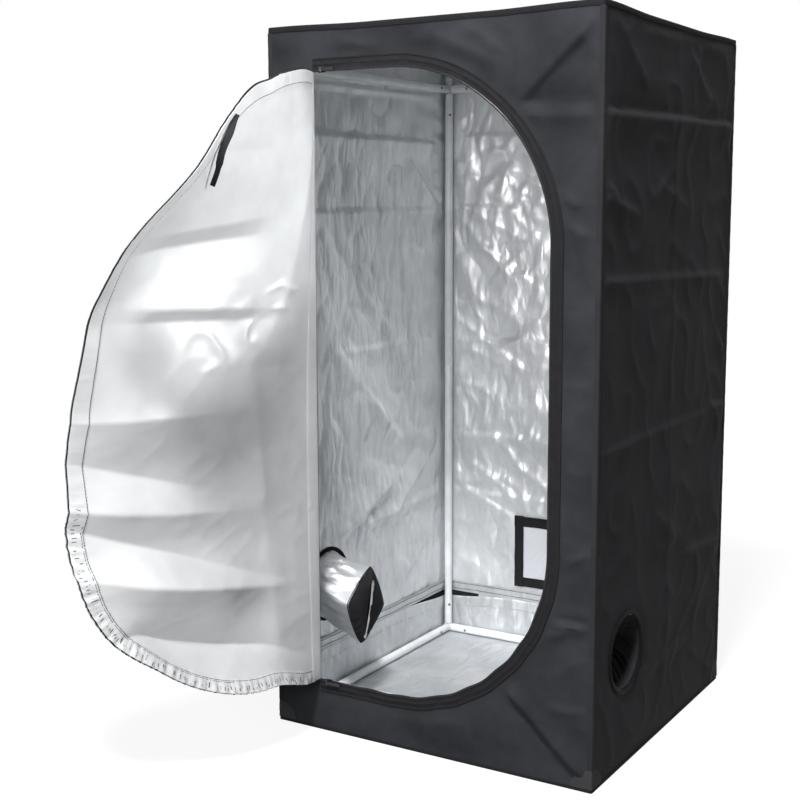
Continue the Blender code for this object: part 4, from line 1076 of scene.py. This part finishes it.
rows = np.stack([places + a * across + b * lift for a, b in section], axis=1)
opening_tape = strip_piece("tape_opening_zip", rows, travelled(places), travelled(section),
                           black_binding)
finish_strip(opening_tape)
spots = np.linspace(0.0, len(line) - 1.001, round(travel[-1] / TOOTH_PITCH))
tooth_across = across[spots.astype(int)]
tooth_lift = np.tile([[0.0, -1.0, 0.0]], (len(spots), 1))
opening_teeth = teeth_row(
    "opening_teeth", between(places, spots) + 0.0016 * tooth_across + 0.0010 * tooth_lift,
    np.cross(tooth_lift, tooth_across), tooth_across, tooth_lift)
join_pieces(opening_tape, [opening_teeth])
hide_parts("opening_zip_tape")
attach(opening_tape, "tent")

# The duct ports: a stiff black rim in each side wall with a cloth sleeve sewn into it. The
# left sleeve hangs into the tent, silver outside, pinched flat by its black cuff.
port_rubber = speckled("port_rubber", 90.0, 4.0, (0.0090, 0.0090, 0.0098),
                       (0.0150, 0.0150, 0.0162), {"IOR": 1.10, "Roughness": 0.60})[0]
for rim in ("left_port_ring", "right_port_ring"):
    put_on(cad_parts[rim], port_rubber)


def sleeve_piece(name, rings, outer, inner, thickness, flip=False):
    """A tube of cloth through rings of places, each ring closed on itself."""
    rings = np.asarray(rings)
    rows, around = rings.shape[:2]
    rings = np.concatenate([rings, rings[:, :1]], axis=1)
    columns = around + 1
    step = np.linalg.norm(np.diff(rings, axis=1), axis=2).mean(axis=0)
    wide = np.concatenate([[0.0], np.cumsum(step)])
    long = np.linalg.norm(np.diff(rings, axis=0), axis=2).mean(axis=1)
    along = np.concatenate([[0.0], np.cumsum(long)])
    uvs = np.stack([np.tile(wide, rows), np.repeat(along, columns)], axis=1)
    faces = strip_faces(rows, columns, closed=False)
    if flip:
        faces = [face[::-1] for face in faces]
    piece = cloth_piece(name, rings.reshape(-1, 3), faces, uvs, outer, inner, 0.0)
    work = bmesh.new()
    work.from_mesh(piece.data)
    bmesh.ops.remove_doubles(work, verts=work.verts, dist=1e-5)
    work.to_mesh(piece.data)
    work.free()
    add_thickness(piece, thickness, 1)
    apply_modifiers(piece)
    bpy.ops.object.shade_smooth_by_angle(angle=math.radians(50.0))
    return piece


def ring_places(x, y, z, half_height, half_width, power, tilt, pleats, depth, rumple):
    """One ring of a sleeve, between a circle and a pinched lozenge."""
    around = 120
    angle = np.arange(around) * 2.0 * math.pi / around
    reach = ((np.abs(np.cos(angle)) / half_width) ** power
             + (np.abs(np.sin(angle)) / half_height) ** power) ** (-1.0 / power)
    reach = reach * (1.0 + depth * np.cos(pleats * angle))
    if rumple:
        reach = reach + rumple * (crumples(np.cos(angle) * 3.0, np.sin(angle) * 3.0 + x * 18.0,
                                           0.9, 4.2) - 0.35)
        reach = reach + 0.8 * rumple * waves(np.cos(angle) + x * 9.0, np.sin(angle), 0.5, 7.1)
    return np.stack([np.full(around, x), y + reach * np.cos(angle + tilt),
                     z + reach * np.sin(angle + tilt)], axis=1)


SLEEVE = 0.0611  # a sleeve's radius at its port
rings = []
for step in range(41):
    share = step / 40.0
    grip = float(ramp(np.array(share), 0.05, 1.0))
    middle = math.sin(math.pi * share)
    rings.append(ring_places(
        -0.3030 + 0.0870 * share, -0.150, 0.215 - 0.028 * share - 0.003 * middle,
        SLEEVE + 0.0094 * grip, SLEEVE + 0.0020 * grip - 0.002 * middle, 2.0 - 0.80 * grip,
        math.radians(-14.0) * grip, 4, 0.0, 0.0034 * middle))
# The sleeve's silver outside uses the darker film, painted shade on its facets.
left_sleeve = sleeve_piece("cloth_left_sleeve", rings, tray_film_painted_shade, black_oxford, 0.0011)
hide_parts("left_port_sleeve")
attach(left_sleeve, "tent")

rings = []
for step in range(17):
    share = step / 16.0
    close = share ** 1.15
    rings.append(ring_places(
        -0.2180 + 0.0170 * math.sin(share * math.pi / 2), -0.150 - 0.014 * close, 0.187,
        0.0716 * (1.0 - 0.30 * close), 0.0645 + (0.0045 - 0.0645) * close,
        1.20 + 0.10 * share, math.radians(-14.0), 4, 0.0, 0.0020 * math.sin(math.pi * share)))
left_cuff = sleeve_piece("tape_left_cuff", rings, black_binding, silver_film, 0.0010)
for polygon in left_cuff.data.polygons:
    place = polygon.center
    aside = place.y + 0.164 - 0.25 * (place.z - 0.187)
    if place.x > -0.2045 and 0.0 < aside < 0.005 + 0.05 * (place.z - 0.150) and place.z < 0.232:
        polygon.material_index = 1
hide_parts("left_port_cuff")
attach(left_cuff, "tent")

# The right sleeve is pushed inwards through its port and gathered in pleats by its cuff,
# which leaves a small hole.
rings = []
for step in range(31):
    share = step / 30.0
    grip = float(ramp(np.array(share), 0.02, 0.55))
    size = SLEEVE + (0.030 - SLEEVE) * grip
    rings.append(ring_places(0.3032 - 0.0842 * share, *RIGHT_PORT, size, size, 2.0,
                             0.5 * grip, 6, 0.20 * grip, 0.0110 * math.sin(math.pi * share)))
right_sleeve = sleeve_piece("cloth_right_sleeve", rings, silver_film, black_oxford, 0.0011,
                            flip=True)
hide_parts("right_port_sleeve")
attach(right_sleeve, "tent")

rings = []
for step in range(9):
    share = step / 8.0
    size = 0.0305 + (0.0135 - 0.0305) * share * share
    rings.append(ring_places(0.2195 - 0.0230 * share, *RIGHT_PORT, size, size, 2.0, 0.5,
                             6, 0.20, 0.0))
right_cuff = sleeve_piece("tape_right_cuff", rings, black_binding, black_binding, 0.0013,
                          flip=True)
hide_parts("right_port_cuff")
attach(right_cuff, "tent")

# The vent window: a fine pale net behind the opening in the back wall, under a border of
# black hook-and-loop tape whose four strips overlap at the corners.
pale_net = speckled("pale_net", 400.0, 2.0, (0.52, 0.54, 0.60), (0.70, 0.72, 0.78),
                    {"Roughness": 0.55})[0]
low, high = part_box("vent_net")
wires = []
for axis, count, deep in ((0, 104, 0.3012), (2, 54, 0.3015)):
    other = 2 - axis
    begins = np.tile([0.0, deep, 0.0], (count + 1, 1))
    begins[:, axis] = (low[axis] + 0.0005 - 0.00050
                       + (high[axis] - low[axis] - 0.001) * np.arange(count + 1) / count)
    begins[:, other] = (low[other] + high[other]) / 2
    ends, sides, lifts = begins.copy(), np.zeros_like(begins), np.zeros_like(begins)
    ends[:, axis] += 0.0010
    sides[:, other] = (high[other] - low[other]) / 2
    lifts[:, 1] = 0.0003
    wires.append((begins, ends, sides, lifts))
window_net = bars_piece("window_net", *map(np.concatenate, zip(*wires)), pale_net)
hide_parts("vent_net")
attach(window_net, "tent")

borders = []
for name, low, high, deep in (("bottom", (-0.1358, 0.1245), (0.1352, 0.1448), 0.3000),
                              ("top", (-0.1362, 0.2535), (0.1350, 0.2742), 0.3000),
                              ("left", (-0.1352, 0.1232), (-0.1146, 0.2755), 0.2993),
                              ("right", (0.1142, 0.1236), (0.1350, 0.2748), 0.2993)):
    u, v, faces = cut_cloth(low, high, 0.0034)
    sway = 0.0006 * waves(u, v, 0.030, 2.0 + deep * 10.0)
    rise = 0.0002 * crumples(u, v, 0.012, 3.0)
    borders.append(cloth_piece("border_" + name, stack(u + sway, deep - rise, v + sway), faces,
                               stack(u, v), black_binding, black_binding, 0.0007))
window_border = borders[0]
join_pieces(window_border, borders[1:])
window_border.name = "tape_window_border"
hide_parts("vent_hook_tape")
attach(window_border, "tent")

# The door: one D-shaped cloth, black outside and silver inside, hung along its straight side.
# It stands open, leaning at its head and folded where it was packed, and its zip gathers it.
DOOR_LEAN = (
    (0.090, 0.5), (0.150, 2.2), (0.195, 4.2), (0.224, 6.0), (0.249, 8.0), (0.289, 11.2),
    (0.342, 13.6), (0.383, 15.4), (0.442, 15.8), (0.508, 15.2), (0.576, 14.4), (0.608, 13.6),
    (0.658, 10.8), (0.711, 7.3), (0.768, 3.8), (0.812, -0.6), (0.847, -4.4), (0.878, -8.8),
    (0.905, -13.0), (0.931, -17.1), (0.956, -20.9), (0.984, -24.2), (1.011, -26.4),
    (1.029, -27.4), (1.045, -28.2), (1.065, -29.6), (1.090, -30.4), (1.140, -30.4),
)
DOOR_FOLDS = (
    # height at the hinge, climb with the reach, depth, where it starts, is deepest, ends
    (0.094, 0.000, -0.0160, 0.00, 0.16, 0.49), (0.140, 0.250, 0.0340, 0.00, 0.26, 0.49),
    (0.267, 0.178, -0.0500, 0.06, 0.30, 0.49), (0.262, 0.375, -0.0200, 0.10, 0.30, 0.49),
    (0.404, 0.112, -0.0450, 0.10, 0.33, 0.49), (0.400, 0.300, -0.0200, 0.10, 0.31, 0.49),
    (0.592, 0.000, -0.0440, 0.10, 0.33, 0.49), (0.737, 0.020, 0.0250, 0.08, 0.26, 0.38),
    (0.752, 0.035, -0.0100, 0.08, 0.26, 0.38), (0.895, -0.115, 0.0420, 0.14, 0.29, 0.43),
    (0.922, -0.120, -0.0130, 0.12, 0.29, 0.43), (1.020, -0.060, 0.0120, 0.12, 0.29, 0.43),
    (1.170, 0.000, 0.0000, 0.00, 0.30, 0.60),
)
DOOR_BEND = (
    # height, how far from the hinge the cloth bends along its upright crease, and how sharply
    (0.094, 0.100, 0.17), (0.300, 0.105, 0.17), (0.500, 0.115, 0.17), (0.600, 0.130, 0.17),
    (0.660, 0.150, 0.19), (0.720, 0.115, 0.28), (0.780, 0.090, 0.36), (0.900, 0.064, 0.42),
    (1.000, 0.046, 0.42), (1.090, 0.028, 0.36), (1.137, 0.016, 0.30),
)
# The open door's turn at its hinge, 10 degrees past square
TURN_COS, TURN_SIN = 0.9848, 0.1736
bend_table = np.array(DOOR_BEND)
lean_table = np.array(DOOR_LEAN)
lean_height = np.linspace(0.09, 1.14, 211)
lean_angle = np.interp(lean_height, lean_table[:, 0], lean_table[:, 1])
lean_angle = np.convolve(np.pad(lean_angle, 3, mode="edge"), np.ones(7) / 7.0, mode="valid")


def folds_of_door(reach, z):
    """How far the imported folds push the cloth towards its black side."""
    total = np.zeros(len(reach))
    for shift in (-0.0013, 0.0, 0.0013):
        lines, depths = [], []
        for high, climb, depth, start, most, end in DOOR_FOLDS:
            rise = ramp(reach, start, most)
            fall = 1.0 - ramp(reach, most + 0.02, end)
            lines.append(high + climb * reach)
            depths.append(depth * rise * fall)
        lines, depths = np.array(lines), np.array(depths)
        lines = np.maximum.accumulate(lines + np.arange(len(lines))[:, None] * 1e-5, axis=0)
        value = depths[0].copy()
        for k in range(len(lines) - 1):
            share = (z + shift - lines[k]) / np.maximum(lines[k + 1] - lines[k], 1e-5)
            value = np.where((share > 0.0) & (share <= 1.0),
                             depths[k] + (depths[k + 1] - depths[k]) * share, value)
        total += value / 3.0
    return total


def flap(reach, z, lift=0.0):
    """Places on the open door, at a reach from its hinge and a height, lifted to its outside."""
    reach, z = np.asarray(reach, dtype=float), np.asarray(z, dtype=float)
    lean = np.tan(np.radians(np.interp(z, lean_height, lean_angle)))
    off = reach * lean + folds_of_door(reach, z)
    bend = np.interp(z, bend_table[:, 0], bend_table[:, 1])
    rest = np.clip((0.435 - reach) / (0.435 - bend), 0.0, 1.0)
    near, far = reach / bend, rest
    sharp = np.interp(z, bend_table[:, 0], bend_table[:, 2])
    off = off - sharp * bend * (near + far - np.sqrt((near - far) ** 2 + 0.01)) / 2.0
    off = off + 0.0030 * waves(reach, z, 0.11, 6.3) * ramp(reach, 0.0, 0.1)
    off = off - 0.0005 * crumples(reach, z * 1.4, 0.060, 2.8) * ramp(reach, 0.0, 0.05)
    local = ramp(0.080 - np.hypot(reach - 0.20, z - 0.72), 0.0, 0.05)
    local = local + ramp(0.050 - np.hypot(reach - 0.10, (z - 0.775) * 1.4), 0.0, 0.04)
    off = off - 0.0050 * local * crumples(reach + 0.5 * z, z * 1.2, 0.056, 11.0)
    out = reach * TURN_COS
    side = -off - lift
    arc = np.sqrt(np.maximum(ARC ** 2 - np.maximum(reach - END_RUN, 0.0) ** 2, 0.0))
    low_edge, high_edge = FOOT_ARC - arc, HEAD_ARC + arc
    gather = 0.0290 * ramp(reach, 0.02, 0.14) * ramp(0.43 - reach, 0.0, 0.10)
    up = gather * ramp(low_edge + 0.16 - z, 0.0, 0.16)
    down = 0.0250 * ramp(reach, 0.04, 0.23) * (1.0 - 0.62 * ramp(reach, 0.21, 0.34))
    down = down * ramp(z - high_edge + 0.16, 0.0, 0.16)
    x = -HINGE - TURN_SIN * reach + TURN_COS * side
    y = HINGE_Y - out - TURN_SIN * side
    return np.stack([x, y, z + up - down], axis=-1)


def edge_travel(u, v):
    """How far round the doorway's line a place near it lies."""
    top, foot = v > HEAD_ARC, v < FOOT_ARC
    head_turn = math.pi / 2 - np.arctan2(v - HEAD_ARC, np.maximum(u - ARC_U, 1e-6))
    foot_turn = np.arctan2(FOOT_ARC - v, np.maximum(u - ARC_U, 1e-6))
    side = END_RUN + ARC * math.pi / 2
    t = side + np.clip(HEAD_ARC - v, 0.0, SIDE_RUN)
    t = np.where(top & (u > ARC_U), END_RUN + ARC * head_turn, t)
    t = np.where(top & (u <= ARC_U), u + HINGE, t)
    t = np.where(foot & (u > ARC_U), side + SIDE_RUN + ARC * foot_turn, t)
    return np.where(foot & (u <= ARC_U), side * 2.0 + 0.323 - (u - ARC_U), t)


def puckers(u, v):
    """The small gathers along the door's edge, deepest along its lower arc."""
    t = edge_travel(u, v)
    deep = door_edge(u, v)
    rim = ramp(deep, -0.030, -0.010) * ramp(u, -0.205, -0.185)
    low = 0.20 + 0.80 * ramp(t, 0.92, 1.10)
    beat = np.sin(t * 2.0 * math.pi / 0.0125 + 6.0 * waves(t, t * 0.0, 0.035, 3.0))
    return rim * low * (0.0008 * beat + 0.0015 * waves(t, deep * 0.8, 0.011, 8.0))


def puckered(u, v, lift=0.0):
    """Places on the door with its gathers, lifted to its outside."""
    return flap(u + HINGE, v, puckers(u, v) + lift)


u, v, faces = cut_cloth((-HINGE, 0.0955), (0.2205, 1.1355), 0.0036,
                        lambda a, b: -door_edge(a, b, -0.0015))
door_cloth = cloth_piece("cloth_door", puckered(u, v), faces, stack(u, v),
                         black_oxford, silver_film, 0.0010, 70.0)
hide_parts("door_panel")
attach(door_cloth, "door")
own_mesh(door_cloth)

# The door's hem: the silver edge is turned in and stitched down with black thread, and the
# zip's tape and teeth are sewn over it outside.
u, v, faces = cut_cloth((-0.2115, 0.0935), (0.2205, 1.1355), 0.0030,
                        lambda a, b: np.minimum(-door_edge(a, b, -0.0012),
                                                door_edge(a, b) + 0.0235))
rim = ramp(-door_edge(u, v), 0.001, 0.005) * ramp(door_edge(u, v) + 0.0235, 0.0, 0.003)
hem_cloth = cloth_piece("cloth_door_hem", puckered(u, v, -0.0014 - 0.0006 * rim), faces,
                        stack(u, v), silver_film, silver_film, 0.0006, 70.0)
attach(hem_cloth, "door")
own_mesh(hem_cloth)

rows = []
for inset, lift in ((0.0006, 0.0), (0.0006, 0.0020), (0.0040, 0.0020), (0.0044, 0.0014),
                    (0.0100, 0.0014), (0.0106, 0.0018), (0.0120, 0.0018), (0.0126, 0.0014),
                    (0.0190, 0.0014), (0.0197, 0.0020), (0.0215, 0.0020), (0.0220, 0.0014),
                    (0.0220, 0.0)):
    u, v = (line - outs * inset).T
    rows.append(puckered(u, v, 0.0002 + lift))
rows = np.stack(rows, axis=1)
door_tape = strip_piece("tape_door_zip", rows, travel, 0.0017 * np.arange(rows.shape[1]),
                        black_binding)
finish_strip(door_tape)
spots = np.linspace(0.0, len(line) - 1.001, round(len(line) * LINE_STEP / TOOTH_PITCH))
tooth_line, tooth_outs = between(line, spots), outs[spots.astype(int)]
u, v = (tooth_line - 0.0006 * tooth_outs).T
rise = puckers(u, v)
base = flap(u + HINGE, v, rise + 0.0012)
over = unit(flap(u + HINGE, v, rise + 0.0022) - base)
u, v = (tooth_line - 0.0026 * tooth_outs).T
inward = unit(flap(u + HINGE, v, rise + 0.0012) - base)
door_teeth = teeth_row("door_teeth", base, np.cross(over, inward), inward, over)
join_pieces(door_tape, [door_teeth])
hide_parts("door_hem")
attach(door_tape, "door")
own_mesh(door_tape)

# Black thread along the hem, in short stitches that show on the silver side, and short black bars
# across its lower arc that are painted shade in the creases of the gathers
def on_hem(t, inset, lift):
    """Places at distances round the door's hem, lifted to its silver side."""
    spots = np.clip(t / LINE_STEP, 0.0, len(line) - 1.001)
    u, v = (between(line, spots) - between(outs, spots) * inset[:, None]).T
    return puckered(u, v, -lift)


seams = []
for inset, begin, finish_at in ((0.0215, 0.03, 1.64), (0.0188, 1.02, 1.45)):
    t = np.arange(begin, finish_at, STITCH_PITCH)
    inset = np.full(len(t), inset)
    seams.append((t, t + STITCH, inset, inset, 0.0, 0.00045))
# Short black bars scattered across the lower arc of the hem, which are painted shade in the
# creases of the gathers.
t = np.arange(0.99, 1.61, 0.0068)
t = t + 0.0030 * waves(t, t * 0.0, 0.013, 9.0)
first = 0.0060 + 0.0040 * waves(t, t * 0.0, 0.017, 4.0)
reach_in = 0.0055 + 0.0045 * waves(t, t * 0.0, 0.011, 2.0)
seams.append((t, t + 0.0025 * waves(t, t * 0.0, 0.020, 7.0), first, first + reach_in,
              0.0006, 0.0))
stitches = []
for one, two, inset, far_inset, along, across in seams:
    begins = on_hem(one, inset, 0.0016)
    stitches.append((begins, on_hem(two, far_inset, 0.0016),
                     on_hem(one + along, inset + across, 0.0016) - begins,
                     on_hem(one, inset, 0.0028) - begins))
door_stitches_and_gather_shade = bars_piece("door_stitches_and_gather_shade", *map(np.concatenate, zip(*stitches)), black_thread_and_crease_shade)
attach(door_stitches_and_gather_shade, "door")
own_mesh(door_stitches_and_gather_shade)

# The tie: a short black strap sewn under the hem's seam, which ties the rolled door. It hangs
# loose down the silver side and narrows near its end.
strap_reach, strap_top, strap_length = 0.335, 1.0550, 0.105
fall = np.linspace(0.0, strap_length, 31)
hang = 0.0030 * np.sin(fall * 60.0) * ramp(fall, 0.03, 0.06)
middle = flap(strap_reach + 0.10 * fall + 0.020 * np.sin(math.pi * fall / strap_length),
              strap_top - fall, -0.0044 - 0.0080 * ramp(fall, 0.0, 0.03) + hang)
run = np.gradient(middle, axis=0)
across = unit(np.cross(run, (-0.55, 0.80, 0.10)))
thick = 0.0009 * unit(np.cross(across, run))
across *= (0.0050 - 0.0012 * ramp(fall, 0.070, 0.078))[:, None]
rows = stack(middle - across - thick, middle + across - thick,
             middle + across + thick, middle - across + thick)
tie = strip_piece("strap_tie", rows, 0.0035 * np.arange(len(rows)), 0.01 * np.arange(4),
                  black_binding)
edge = tie.modifiers.new("edge", "BEVEL")
edge.width = 0.0005
edge.segments = 2
finish_strip(tie, 40.0)
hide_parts("door_tie_strap")
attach(tie, "tie_strap")
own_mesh(tie)

# The zip's two sliders and their pulls, cast in zinc and blackened. Their shapes are the
# part's own; the coat is slightly uneven.
black_zinc, tree, shader, cast = speckled("black_zinc", 500.0, 5.0, (0.018, 0.018, 0.020),
                                          (0.075, 0.075, 0.080), {"Metallic": 0.85})
fill(shader, {"Roughness": add_range(tree, cast, 0.30, 0.50)})
for node in ("upper_zip_slider", "lower_zip_slider", "upper_zip_pull", "lower_zip_pull"):
    put_on(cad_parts[node], black_zinc)
